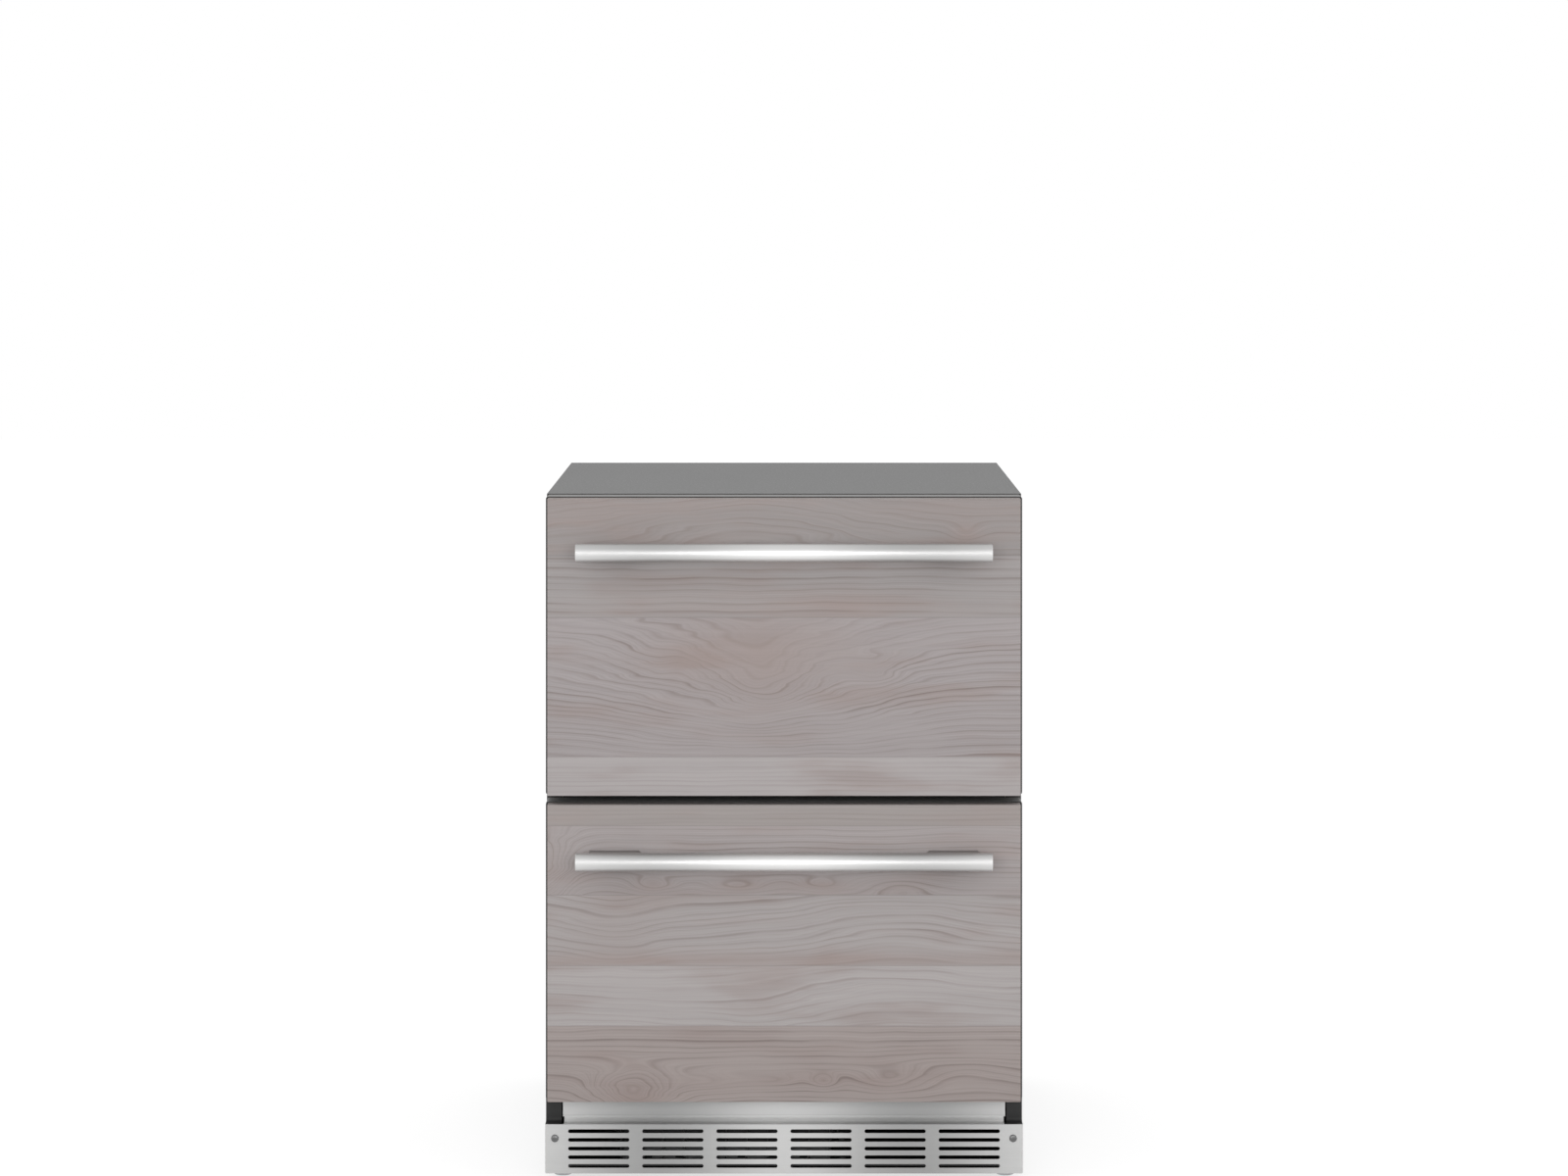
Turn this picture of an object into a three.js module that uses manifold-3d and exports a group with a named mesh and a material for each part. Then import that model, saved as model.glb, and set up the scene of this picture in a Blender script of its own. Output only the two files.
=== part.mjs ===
import * as THREE from 'three';
import { mergeVertices } from 'three/addons/utils/BufferGeometryUtils.js';
import Module from 'manifold-3d';

// Undercounter refrigerator with two drawers, panel fronts and bar handles. Millimetres, +Z up.
// The drawer fronts face -Y. The origin is on the floor, under the middle of the whole object.
// Inside the groups, y = 0 is the cabinet's front plane and y grows towards the back.

const wasm = await Module();
wasm.setup();

// ---------------------------------------------------------------------------------------------
// Driving dimensions
// ---------------------------------------------------------------------------------------------

const clearance = 0.3; // gap left between two pieces that touch
const past = 1; // how far a cutting or joining shape runs past a face
const ringCornerSteps = 3; // flat facets round each corner of a lofted ring
const roundSides = 12; // facets round a small turned piece
const hubSides = 14;
const compressorSides = 16;
const barSides = 28;

// Cabinet shell
const cabinetWidth = 606;
const cabinetHeight = 876;
const cabinetDepth = 546;
const skin = 1; // painted sheet of the shell
const underside = 17; // lower edge of the side panels above the floor
const frontReturn = 20; // sheet folded in along the front edge of a side panel
const rearReturn = 15; // sheet folded in along its rear edge
const topFlange = 20; // sheet folded down along the front of the top panel

// Insulation, liner and the space for the machinery behind and below it
const sideInsulation = 48; // from the shell's outer face to the cavity
const rearInsulation = 52;
const insulation = 45; // ceiling, floor and the step over the machinery
const insulationUnderside = 115;
const machineRoomDepth = 212;
const machineRoomHeight = 270;
const linerSheet = 1.5;
const cavityRadius = 14; // rounded inner corners of the cavity
const breakerSheet = 2;
const breakerBottom = 117;
const mullionHeight = 45;
const mullionDepth = 40;
const mullionRadius = 6;

// Drawer fronts
const doorSideInset = 1.5; // from the cabinet's side to the drawer front's side
const doorGap = 9; // between the two drawer fronts
const lowestDoorEdge = 112.8;
const doorDepth = 30;
const doorCornerRadius = 3;
const doorBackReturn = 12;
const gasketSpace = 14; // from the cabinet's front plane to the back of a drawer front
const gasketWidth = 12;
const gasketInset = 22; // from the edge of the drawer front to the gasket
const gasketHemInset = 2.5; // the same where a front meets the mullion
const dikeDepth = 24; // the inner door's plug, from its flat back into the opening
const dikeClearance = 13; // from the opening's edge to the plug
const dikeSideGap = 7.1; // from the plug to the runners' ledges
const dikeCornerRadius = 18;
const dikeFlatLip = 4; // the plug's upright foot
const dikeShoulder = 3; // its rounded shoulder, inwards and back from its top
const dikeTopInset = 8;
const gasketCornerRadius = 9;
const gasketInnerRadius = 1;
const gasketFoot = 4; // thickness of the gasket's wide foot and of its magnetic head
const gasketNeck = 3; // how far the bellows draws in on each side
const panelThickness = 18.7;
const panelSideReveal = 3;
const panelEndReveal = 1.3;
const panelBevel = 1;

// Handles
const barDiameter = 22.5;
const barEndInset = 41; // from the drawer front's side to the bar's end
const barStandoff = 45; // from the panel's face to the bar's centre line
const barDrop = 63.9; // from the panel's top edge to the bar's centre line
const barEdgeRadius = 0.8;
const postEndInset = 15.5; // from the bar's end to the post's outer flank
const postLengthAtBar = 68.4;
const postLengthAtPanel = 62.6;
const postHeight = 13.6;
const studRadius = 3;
const studPitch = 40;
const studReach = 9; // how far a stud runs into the inner door
const studRoot = 4; // how far it starts inside the post

// Telescopic slides
const slideSetback = 20; // from the cabinet's front plane to the slides' front ends
const slideRearGap = 3.2; // from their rear ends to the evaporator cover
const slideSheet = 1.5;
const slideFlange = 2;
const slideHeight = 45;
const slideDepth = 10; // how far the fixed member's flanges stand out
const drawerSlideDrop = 183; // from the top of a drawer front down to its slides' centre line
const lowerSlideDrop = 105;
const shelfWidth = 12; // the ledge of the runner that carries the bin
const bracketSheet = 2;
const slideScrewShares = [0.12, 0.5, 0.88]; // places of the fixed member's screw slots along it
const slideScrewSlot = [18, 5.2]; // length and height
const middleWindowShares = [0.25, 0.75];
const middleWindow = [140, 12];

// Bins
const binWall = 2.5;
const binRimThickness = 3;
const binRimWidth = 12;
const binFrontGap = 13; // from the cabinet's front plane to the bin
const binCornerRadius = 26;
const binDraft = 8; // how much narrower the floor is on each side
const upperBinRearGap = 22; // from the bin to the slides' rear ends
const lowerBinRearGap = 12.2; // from the bin to the liner's step
const binLedgeGap = 1; // from the bin's wall to the runner's ledge
const binFootRun = 9; // the rounded foot of its walls, inwards
const binFootRise = 14;
const binFloorClearance = 11; // from the opening's lower edge to the bin's floor
const binVentLength = 44;
const binVentHeight = 6;
const binVentPitch = 80;
const binVentDrop = 23; // from the rim's underside to the vents' centre line
const binVentCount = 4;

// Toe space: kick rail, corner blocks, grille
const grilleHeight = 62.4;
const grilleBottom = 16.6;
const grilleReach = 35; // from the cabinet's front plane to the grille's face
const grilleSheet = 1.2;
const grilleFlange = 14;
const grilleFlangeSheet = 1.2;
const grilleCornerRadius = 1.5;
const slotColumns = 6;
const slotRows = 5;
const slotHeight = 4.6;
const slotEndMargin = 21; // from the grille's end to half a gap before the first slot
const slotGap = 16.4; // plate left between two columns
const slotRowPitch = 11;
const slotTopDrop = 8.8; // from the grille's top edge to the first row's centre line
const screwInset = 12.4; // from the grille's end to the screw
const screwDrop = 17.8;
const screwHeadRadius = 4.75;
const screwHeadHeight = 2.2;
const screwShankRadius = 2;
const screwShankLength = 17;
const screwPoint = 2; // length of the screw's tapered end
const screwHoleRoom = 8.8; // depth of the screw's hole beyond its end
const screwRecess = [5.9, 1.1]; // length and width of the cross recess
const kickEndGap = 1.6; // from the rail's end to the side panel's folded edge
const kickReliefDepth = 1.9; // notch at each end of the bend
const kickReliefHeight = 9;
const kickFaceReach = 18;
const kickTop = 111;
const kickBendRadius = 8;
const kickTopBend = 1.5;
const kickSheet = 1;
const kickHem = 5;
const blockTop = 112;
const blockBottom = 20;
const blockFaceReach = 17;
const blockGap = 0.1; // the blocks end this far inside the side panels' folded edge
const blockWall = 3;
const blockBend = 4;
const blockPocketDepth = 12;
const blockLowPocketDepth = 24;

// Base pan and levelling feet
const panSheet = 1.5;
const panFlange = 25;
const footRadius = 12;
const footPadHeight = 6;
const footStemRadius = 5;
const footStemTop = 60;
const footSideInset = 19;
const footEndInset = 29;
const footBossRadius = 10;
const footBossHeight = 14;
const footChamfer = 1.2;
const footHexagonRadius = 8; // corner of the spanner's hexagon
const footHexagonHeight = 6;
const panFrontLip = 4; // the pan's low front edge, above its floor
const panSlot = [10, 60]; // air slots under the condenser: width and length
const panSlotPitch = 40;
const panSlotCount = 6;

// Evaporator behind the upper drawer
const evaporatorSpace = 39; // depth kept for the coil and fan in front of the liner's back
const evaporatorCoverSheet = 2;
const evaporatorFanDrop = 70; // from the cavity's ceiling to the fan's axis
const evaporatorFanRadius = 50;
const evaporatorCoilRise = 30; // from the cover's foot to the coil
const evaporatorCoilEndGap = 52.9; // from the coil to the liner's wall
const evaporatorCoilDrop = 2.2; // from the fan motor's lower arm to the coil
const evaporatorCoilDepth = 26;
const evaporatorFinCount = 12;
const evaporatorCoverSideGap = 3;
const evaporatorCoverFootGap = 2;
const evaporatorCoverRadius = 8;
const fanSlotCount = 5;
const fanSlotHeight = 8;
const footSlotCount = 5;
const footSlot = [56, 6];
const footSlotPitch = 84;
const footSlotRise = 17; // from the cover's lower edge to the slots' centre line

// Machinery below and behind the cavity
const condenserWidth = 270;
const condenserDepth = 90;
const condenserHeight = 78;
const condenserFinCount = 11;
const condenserCentre = -75; // to the left of the middle
const condenserSetback = 20;
const finSheet = 1.2;
const coilCore = 8; // thickness of the fins' common core
const coilPasses = 4;
const condenserFanRadius = 74;
const condenserFanDepth = 14;
const condenserShaftRadius = 3;
const evaporatorFanDepth = 10;
const evaporatorShaftRadius = 2;
const bladeThickness = 1.8;
const hubEdge = 2;
const evaporatorBladeCount = 5;
const condenserBladeCount = 7;
const evaporatorFanTipGap = 2;
const evaporatorMotor = [16, 16]; // radius and length
const condenserMotor = [30, 34];
const evaporatorShaftEnd = -2; // from the arms' seat
const condenserShaftEnd = 16;
const fanArmReach = [12, 14]; // past the evaporator's and the condenser's fan
const fanArm = [10, 2]; // width and sheet
const fanLeg = [16, 3]; // length and thickness of the evaporator motor's legs
const shroudSize = 190;
const shroudDepth = 20;
const shroudSetback = 12; // behind the machine room's front wall
const shroudWall = 2;
const shroudRadius = 8;
const shroudPostInset = 12;
const shroudPostRadius = 6;
const fanTipGap = 4; // from a fan blade's tip to its duct
const compressorRadius = 75;
const compressorHeight = 165;
const compressorX = 150;
const compressorRearGap = 30;
const compressorWeldLip = 3; // how far the weld seam stands out
const compressorSeamHeight = 6;
const compressorBowl = 30; // height of the rounded lower end
const compressorDome = 40; // height of the rounded upper end
const grommetHeight = 10;
const grommetRadius = 9;
const grommetInset = 12;
const footPlateSheet = 3;
const footPlateRadius = 12;
const terminalBox = [44, 23, 44]; // width, depth and height
const terminalBoxRise = 8; // above the weld seam
const terminalBoxReach = 6; // in front of the shell
const drainPanSize = [170, 124];
const drainPanHeight = 26;
const drainPanWall = 2;
const drainPanRadius = 14;
const refrigerantTubeRadius = 4;
const refrigerantLineRise = 112; // from the pan's floor to the line's start on the compressor
const refrigerantLaneHeight = 62; // its run over the pan
const refrigerantLaneGap = 24; // from the shroud's side to that run
const refrigerantLineLead = 8; // straight run out of the compressor
const refrigerantLineDrop = 60; // run of the bend down to the pan
const refrigerantLineEnd = 70; // run of the bend to the condenser
const drierSetback = 80; // from the machine room's front wall to the drier's middle
const drierRadius = 10;
const drierHalfLength = 44;
const drierTaper = 10;
const coverLouvreColumns = 3;
const coverLouvreRows = 4;
const coverLouvreLength = 130;
const coverLouvrePitch = [160, 28];
const coverLouvreSlit = 8;
const coverLouvreReach = 9;
const coverLouvreDrop = 60; // from the cover's top edge to the first row
const outletInset = 60; // from the cabinet's side to the supply lead's outlet
const outletRise = 24; // above the cover's lower edge
const outletBushRadius = 11;
const outletBoreRadius = 5;
const outletBushReach = 8;

// Control and light housing under the ceiling
const housingWidth = 240;
const housingDepth = 70;
const housingHeight = 30;
const housingSetback = 45;
const lensWidth = 120;
const lensDepth = 30;
const lensThickness = 4;
const lensSetback = 4; // behind the housing's middle
const lensRibCount = 8;
const lensRibPitch = 13;
const lensGroove = [3, 24, 1.2]; // width, length and depth between two ribs
const housingChin = [12, 16]; // the sloping front: depth and height
const housingEdgeRadius = 3;
const housingSlotCount = 4;
const housingSlot = [4, 32, 10];
const housingSlotPitch = 9;
const housingSlotStart = 14; // from the lens to the first slot

// ---------------------------------------------------------------------------------------------
// Places worked out from the sizes above
// ---------------------------------------------------------------------------------------------

const halfWidth = cabinetWidth / 2;
const doorWidth = cabinetWidth - 2 * doorSideInset;
const barLength = doorWidth - 2 * barEndInset;
const postOuter = barLength / 2 - postEndInset; // outer flank from the middle of the drawer
const postInnerAtBar = postOuter - postLengthAtBar;
const postInnerAtPanel = postOuter - postLengthAtPanel;
const innerHalfWidth = halfWidth - skin - clearance;
const doorBack = -gasketSpace;
const doorFront = doorBack - doorDepth;
const panelFace = doorFront - clearance - panelThickness;
const handleFace = panelFace - barStandoff - barDiameter / 2;
const cabinetFront = -(cabinetDepth - handleFace) / 2 - handleFace;

const shellTop = cabinetHeight - skin;
const foamFront = breakerSheet + clearance;
const foamTop = shellTop - clearance;
const cavityHalfWidth = halfWidth - sideInsulation;
const cavityFloor = insulationUnderside + insulation;
const cavityCeiling = cabinetHeight - insulation;
const cavityBack = cabinetDepth - rearInsulation;
const machineWall = cabinetDepth - machineRoomDepth;
const cavityStepWall = machineWall - insulation;
const cavityStepTop = machineRoomHeight + insulation;
const linerFaceX = cavityHalfWidth - clearance - linerSheet;
const linerInset = clearance + linerSheet;

const doorHeight = (cabinetHeight - lowestDoorEdge - doorGap) / 2;
const upperDoorEdge = lowestDoorEdge + doorHeight + doorGap;
const mullionCentre = upperDoorEdge - doorGap / 2;
const mullionLow = mullionCentre - mullionHeight / 2;
const mullionHigh = mullionCentre + mullionHeight / 2;

const grilleTop = grilleBottom + grilleHeight;
const grilleBack = -grilleReach + grilleSheet;
const screwX = halfWidth - screwInset;
const screwZ = grilleTop - screwDrop;
const slotColumnPitch = (cabinetWidth - 2 * slotEndMargin) / slotColumns;
const slotLength = slotColumnPitch - slotGap;
const kickHalfWidth = halfWidth - frontReturn - kickEndGap;
const panTop = underside + panSheet;

const evaporatorCoverFace = cavityBack - linerInset - evaporatorSpace;
const slideBack = evaporatorCoverFace - slideRearGap;
const slideLength = slideBack - slideSetback;
const evaporatorFanZ = cavityCeiling - evaporatorFanDrop;
const shroudFront = machineWall + shroudSetback;
const condenserFanZ = panTop + clearance + shroudSize / 2;
const evaporatorCoilWidth = 2 * (linerFaceX - evaporatorCoilEndGap);
const evaporatorArmReach = evaporatorFanRadius + fanArmReach[0];
const evaporatorCoilLow = mullionHigh + evaporatorCoilRise;
const evaporatorCoilHigh = evaporatorFanZ - evaporatorArmReach - evaporatorCoilDrop;
const housingMiddle = housingSetback + housingDepth / 2 + lensSetback;
const housingTop = cavityCeiling - linerInset - clearance;
const compressorY = cabinetDepth - compressorRearGap - compressorRadius;

// ---------------------------------------------------------------------------------------------
// Solids from three.js geometry, cut and joined
// ---------------------------------------------------------------------------------------------

/** A closed geometry as a solid that can be cut and joined, with its faces turned outwards. */
function solidOf(geometry) {
  const bare = geometry.clone();
  bare.deleteAttribute('normal');
  bare.deleteAttribute('uv');
  const merged = mergeVertices(bare, 1e-4);
  const places = merged.getAttribute('position').array;
  const corner = (i) => new THREE.Vector3(places[3 * i], places[3 * i + 1], places[3 * i + 2]);
  const faces = [];
  let volume = 0;
  for (let i = 0; i < merged.index.count; i += 3) {
    const [a, b, c] = [0, 1, 2].map((k) => merged.index.getX(i + k));
    if (a !== b && b !== c && c !== a) {
      faces.push([a, b, c]);
      volume += corner(a).dot(corner(b).cross(corner(c)));
    }
  }
  const outward = volume > 0 ? faces : faces.map(([a, b, c]) => [a, c, b]);
  const mesh = new wasm.Mesh({
    numProp: 3,
    vertProperties: Float32Array.from(places),
    triVerts: Uint32Array.from(outward.flat()),
  });
  return new wasm.Manifold(mesh);
}

/** A solid as a three.js geometry with flat faces. */
function geometryOf(solid) {
  const mesh = solid.getMesh();
  const geometry = new THREE.BufferGeometry();
  geometry.setAttribute('position', new THREE.BufferAttribute(mesh.vertProperties, 3));
  geometry.setIndex(new THREE.BufferAttribute(mesh.triVerts, 1));
  const flat = geometry.toNonIndexed();
  flat.computeVertexNormals();
  return flat;
}

const join = (...solids) => solids.reduce((sum, next) => sum.add(next));
const cut = (solid, ...tools) => tools.reduce((rest, tool) => rest.subtract(tool), solid);

/** A closed outline through corners [u, v, radius], with an arc at each corner that has a radius. */
function outline(corners) {
  const shape = new THREE.Shape();
  corners.forEach(([u, v, radius = 0], i) => {
    const here = new THREE.Vector2(u, v);
    const [bu, bv] = corners[(i + corners.length - 1) % corners.length];
    const [nu, nv] = corners[(i + 1) % corners.length];
    const back = new THREE.Vector2(bu, bv).sub(here).normalize();
    const ahead = new THREE.Vector2(nu, nv).sub(here).normalize();
    const half = Math.acos(THREE.MathUtils.clamp(back.dot(ahead), -1, 1)) / 2;
    const run = radius / Math.tan(half);
    const start = back.clone().multiplyScalar(run).add(here);
    if (i === 0) {
      shape.moveTo(start.x, start.y);
    } else {
      shape.lineTo(start.x, start.y);
    }
    if (radius > 0) {
      const middle = back.clone().add(ahead).normalize();
      const centre = middle.multiplyScalar(radius / Math.sin(half)).add(here);
      const end = ahead.clone().multiplyScalar(run).add(here);
      const from = Math.atan2(start.y - centre.y, start.x - centre.x);
      const to = Math.atan2(end.y - centre.y, end.x - centre.x);
      const clockwise = back.cross(ahead) > 0;
      shape.absarc(centre.x, centre.y, radius, from, to, clockwise);
    }
  });
  shape.closePath();
  return shape;
}

/** A rectangle from (u0, v0) to (u1, v1) with all four corners rounded. */
function rectangle(u0, u1, v0, v1, radius = 0) {
  return outline([
    [u0, v0, radius],
    [u1, v0, radius],
    [u1, v1, radius],
    [u0, v1, radius],
  ]);
}

/** A slot with round ends, given by its middle, length and height. */
function slot(u, v, length, height) {
  const radius = height / 2;
  const reach = length / 2 - radius;
  const shape = new THREE.Shape();
  shape.absarc(u + reach, v, radius, -Math.PI / 2, Math.PI / 2, false);
  shape.absarc(u - reach, v, radius, Math.PI / 2, (3 * Math.PI) / 2, false);
  shape.closePath();
  return shape;
}

/** The two numbers in rising order, for a box drawn on either side of the middle. */
const ordered = (a, b) => [Math.min(a, b), Math.max(a, b)];

/** A full circle. */
function disc(u, v, radius) {
  const shape = new THREE.Shape();
  shape.absarc(u, v, radius, 0, 2 * Math.PI, false);
  return shape;
}

/** The outline drawn in (x, y) and run from z = low to z = high. An arc gets two facets a step. */
function prismZ(shape, low, high, arcSteps = 2) {
  const geometry = new THREE.ExtrudeGeometry(shape, {
    depth: high - low,
    bevelEnabled: false,
    curveSegments: arcSteps,
  });
  geometry.translate(0, 0, low);
  return solidOf(geometry);
}

/** The outline drawn in (y, z) and run from x = low to x = high. */
function prismX(shape, low, high, arcSteps = 2) {
  const turn = new THREE.Matrix4().set(0, 0, 1, low, 1, 0, 0, 0, 0, 1, 0, 0, 0, 0, 0, 1);
  const geometry = new THREE.ExtrudeGeometry(shape, {
    depth: high - low,
    bevelEnabled: false,
    curveSegments: arcSteps,
  });
  geometry.applyMatrix4(turn);
  return solidOf(geometry);
}

/** The outline drawn in (x, z) and run from y = low to y = high. */
function prismY(shape, low, high, arcSteps = 2) {
  const turn = new THREE.Matrix4().set(1, 0, 0, 0, 0, 0, -1, high, 0, 1, 0, 0, 0, 0, 0, 1);
  const geometry = new THREE.ExtrudeGeometry(shape, {
    depth: high - low,
    bevelEnabled: false,
    curveSegments: arcSteps,
  });
  geometry.applyMatrix4(turn);
  return solidOf(geometry);
}

/** A block between two opposite corners. */
function block(x0, x1, y0, y1, z0, z1) {
  const geometry = new THREE.BoxGeometry(Math.abs(x1 - x0), y1 - y0, z1 - z0);
  geometry.translate((x0 + x1) / 2, (y0 + y1) / 2, (z0 + z1) / 2);
  return solidOf(geometry);
}

/** A profile of [radius, height] points, turned about the Z axis. */
function revolve(profile, sides) {
  const points = profile.map(([radius, height]) => new THREE.Vector2(radius, height));
  const geometry = new THREE.LatheGeometry(points, sides);
  geometry.rotateX(Math.PI / 2);
  return solidOf(geometry);
}

/** A round tube or rod along a smooth curve through the points. */
function bentTube(points, radius, steps, sides = 8) {
  const route = new THREE.CatmullRomCurve3(points.map((p) => new THREE.Vector3(...p)));
  const geometry = new THREE.ExtrudeGeometry(disc(0, 0, radius), {
    steps,
    curveSegments: sides,
    bevelEnabled: false,
    extrudePath: route,
  });
  return solidOf(geometry);
}

/** A skin through rings of points, closed by a flat cap at each end. */
function loft(rings) {
  const count = rings[0].length;
  const places = rings.flat().flatMap((p) => [p.x, p.y, p.z]);
  const faces = [];
  for (let r = 0; r + 1 < rings.length; r += 1) {
    for (let i = 0; i < count; i += 1) {
      const a = r * count + i;
      const b = r * count + ((i + 1) % count);
      faces.push(a, b, b + count, a, b + count, a + count);
    }
  }
  const last = (rings.length - 1) * count;
  for (let i = 1; i + 1 < count; i += 1) {
    faces.push(0, i + 1, i, last, last + i, last + i + 1);
  }
  const geometry = new THREE.BufferGeometry();
  geometry.setAttribute('position', new THREE.Float32BufferAttribute(places, 3));
  geometry.setIndex(faces);
  return solidOf(geometry);
}

/** The corner points of a rounded rectangle at one height, the same number for every radius. */
function ringAt(u0, u1, v0, v1, radius, z) {
  const centres = [
    [u1 - radius, v0 + radius, -Math.PI / 2],
    [u1 - radius, v1 - radius, 0],
    [u0 + radius, v1 - radius, Math.PI / 2],
    [u0 + radius, v0 + radius, Math.PI],
  ];
  const corner = ([u, v, start]) =>
    Array.from({ length: ringCornerSteps + 1 }, (_, i) => {
      const angle = start + (i / ringCornerSteps) * (Math.PI / 2);
      return new THREE.Vector3(u + radius * Math.cos(angle), v + radius * Math.sin(angle), z);
    });
  return centres.flatMap(corner);
}

/** A solid moved by (x, y, z). */
function moved(solid, x, y, z) {
  const geometry = geometryOf(solid);
  geometry.translate(x, y, z);
  return solidOf(geometry);
}

// ---------------------------------------------------------------------------------------------
// Finishes
// ---------------------------------------------------------------------------------------------

const finish = (color, roughness, metalness) => () =>
  new THREE.MeshStandardMaterial({ color, roughness, metalness });

const greySheet = finish(0x8a8a8a, 0.55, 0.2);
const zincSheet = finish(0xb4b6b8, 0.45, 0.8);
const brushedSteel = finish(0xc0bfbd, 0.32, 0.95);
const blackSheet = finish(0x313131, 0.6, 0.1);
const blackPlastic = finish(0x211d1c, 0.6, 0);
const darkDoor = finish(0x3b3a39, 0.5, 0.3);
const whitePlastic = finish(0xe4e5e3, 0.5, 0);
const greyPlastic = finish(0x8e9194, 0.5, 0);
const clearPlastic = finish(0xdfe6ea, 0.2, 0);
const foam = finish(0xd9c98a, 0.9, 0);
const rubber = finish(0x2a2a2b, 0.85, 0);
const washedWood = finish(0x9f9796, 0.6, 0);
const copper = finish(0xb87a55, 0.35, 0.9);
const aluminium = finish(0xc4c8cb, 0.4, 0.9);
const blackEnamel = finish(0x1b1c1e, 0.4, 0.3);

/** Adds one named piece to a group. */
function addPiece(group, name, solid, material) {
  const mesh = new THREE.Mesh(geometryOf(solid), material());
  mesh.name = name;
  group.add(mesh);
  return mesh;
}

/** The two sides of the cabinet, with the name and the sign of x of each. */
const sides = [
  ['left', -1],
  ['right', 1],
];

/** The cavity's outline in (y, z), drawn in by an inset, with its front at a given y. */
function cavityOutline(inset, front) {
  const inner = cavityRadius - inset;
  const outer = cavityRadius + inset;
  return outline([
    [front, cavityFloor + inset],
    [cavityStepWall - inset, cavityFloor + inset, inner],
    [cavityStepWall - inset, cavityStepTop + inset, outer],
    [cavityBack - inset, cavityStepTop + inset, inner],
    [cavityBack - inset, cavityCeiling - inset, inner],
    [front, cavityCeiling - inset],
  ]);
}

// ---------------------------------------------------------------------------------------------
// Cabinet shell, insulation and liner
// ---------------------------------------------------------------------------------------------

/** A side panel: one sheet folded in along its front and rear edges, notched for the top panel. */
function sidePanel(side) {
  const fold = outline([
    [side * halfWidth, 0],
    [side * halfWidth, cabinetDepth],
    [side * (halfWidth - rearReturn), cabinetDepth],
    [side * (halfWidth - rearReturn), cabinetDepth - skin],
    [side * (halfWidth - skin), cabinetDepth - skin],
    [side * (halfWidth - skin), skin],
    [side * (halfWidth - frontReturn), skin],
    [side * (halfWidth - frontReturn), 0],
  ]);
  const notchLow = cabinetHeight - topFlange - clearance;
  const notch = block(0, side * (halfWidth - skin), -skin, 2 * skin, notchLow, cabinetHeight);
  return cut(prismZ(fold, underside, shellTop - clearance), notch);
}

/** The top sheet with the flange folded down over the front of the foam. */
function topPanel() {
  const sheet = block(-halfWidth, halfWidth, 0, cabinetDepth, shellTop, cabinetHeight);
  const flangeLow = cabinetHeight - topFlange;
  return join(sheet, block(-innerHalfWidth, innerHalfWidth, 0, skin, flangeLow, cabinetHeight));
}

/** The foam between shell and liner, stepped up over the machine room. */
function insulationFoam() {
  const body = outline([
    [foamFront, insulationUnderside],
    [machineWall, insulationUnderside],
    [machineWall, machineRoomHeight],
    [cabinetDepth - skin - clearance, machineRoomHeight],
    [cabinetDepth - skin - clearance, foamTop],
    [foamFront, foamTop],
  ]);
  const cavity = prismX(cavityOutline(0, -skin), -cavityHalfWidth, cavityHalfWidth);
  return cut(prismX(body, -innerHalfWidth, innerHalfWidth), cavity);
}

/** The food liner: one moulded tub that follows the cavity. */
function innerLiner() {
  const outerX = cavityHalfWidth - clearance;
  const outer = prismX(cavityOutline(clearance, foamFront), -outerX, outerX);
  return cut(outer, prismX(cavityOutline(linerInset, 0), -linerFaceX, linerFaceX));
}

/** The frame around both openings, with the mullion that parts them. */
function breakerFrame() {
  const edgeX = halfWidth - frontReturn - clearance;
  const top = cabinetHeight - topFlange - clearance;
  const plate = prismY(rectangle(-edgeX, edgeX, breakerBottom, top), 0, breakerSheet);
  const opening = (low, high) =>
    prismY(rectangle(-cavityHalfWidth, cavityHalfWidth, low, high), -breakerSheet, 2 * breakerSheet);
  const barX = linerFaceX - clearance;
  const bar = outline([
    [0, mullionLow],
    [mullionDepth, mullionLow, mullionRadius],
    [mullionDepth, mullionHigh, mullionRadius],
    [0, mullionHigh],
  ]);
  const frame = cut(plate, opening(cavityFloor, mullionLow), opening(mullionHigh, cavityCeiling));
  return join(frame, prismX(bar, -barX, barX));
}

/** The sheet that closes the foam at the back, between the side panels' folded edges. */
function backPanel() {
  const edgeX = halfWidth - rearReturn - clearance;
  return prismY(
    rectangle(-edgeX, edgeX, machineRoomHeight, shellTop - clearance),
    cabinetDepth - skin,
    cabinetDepth,
  );
}

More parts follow.
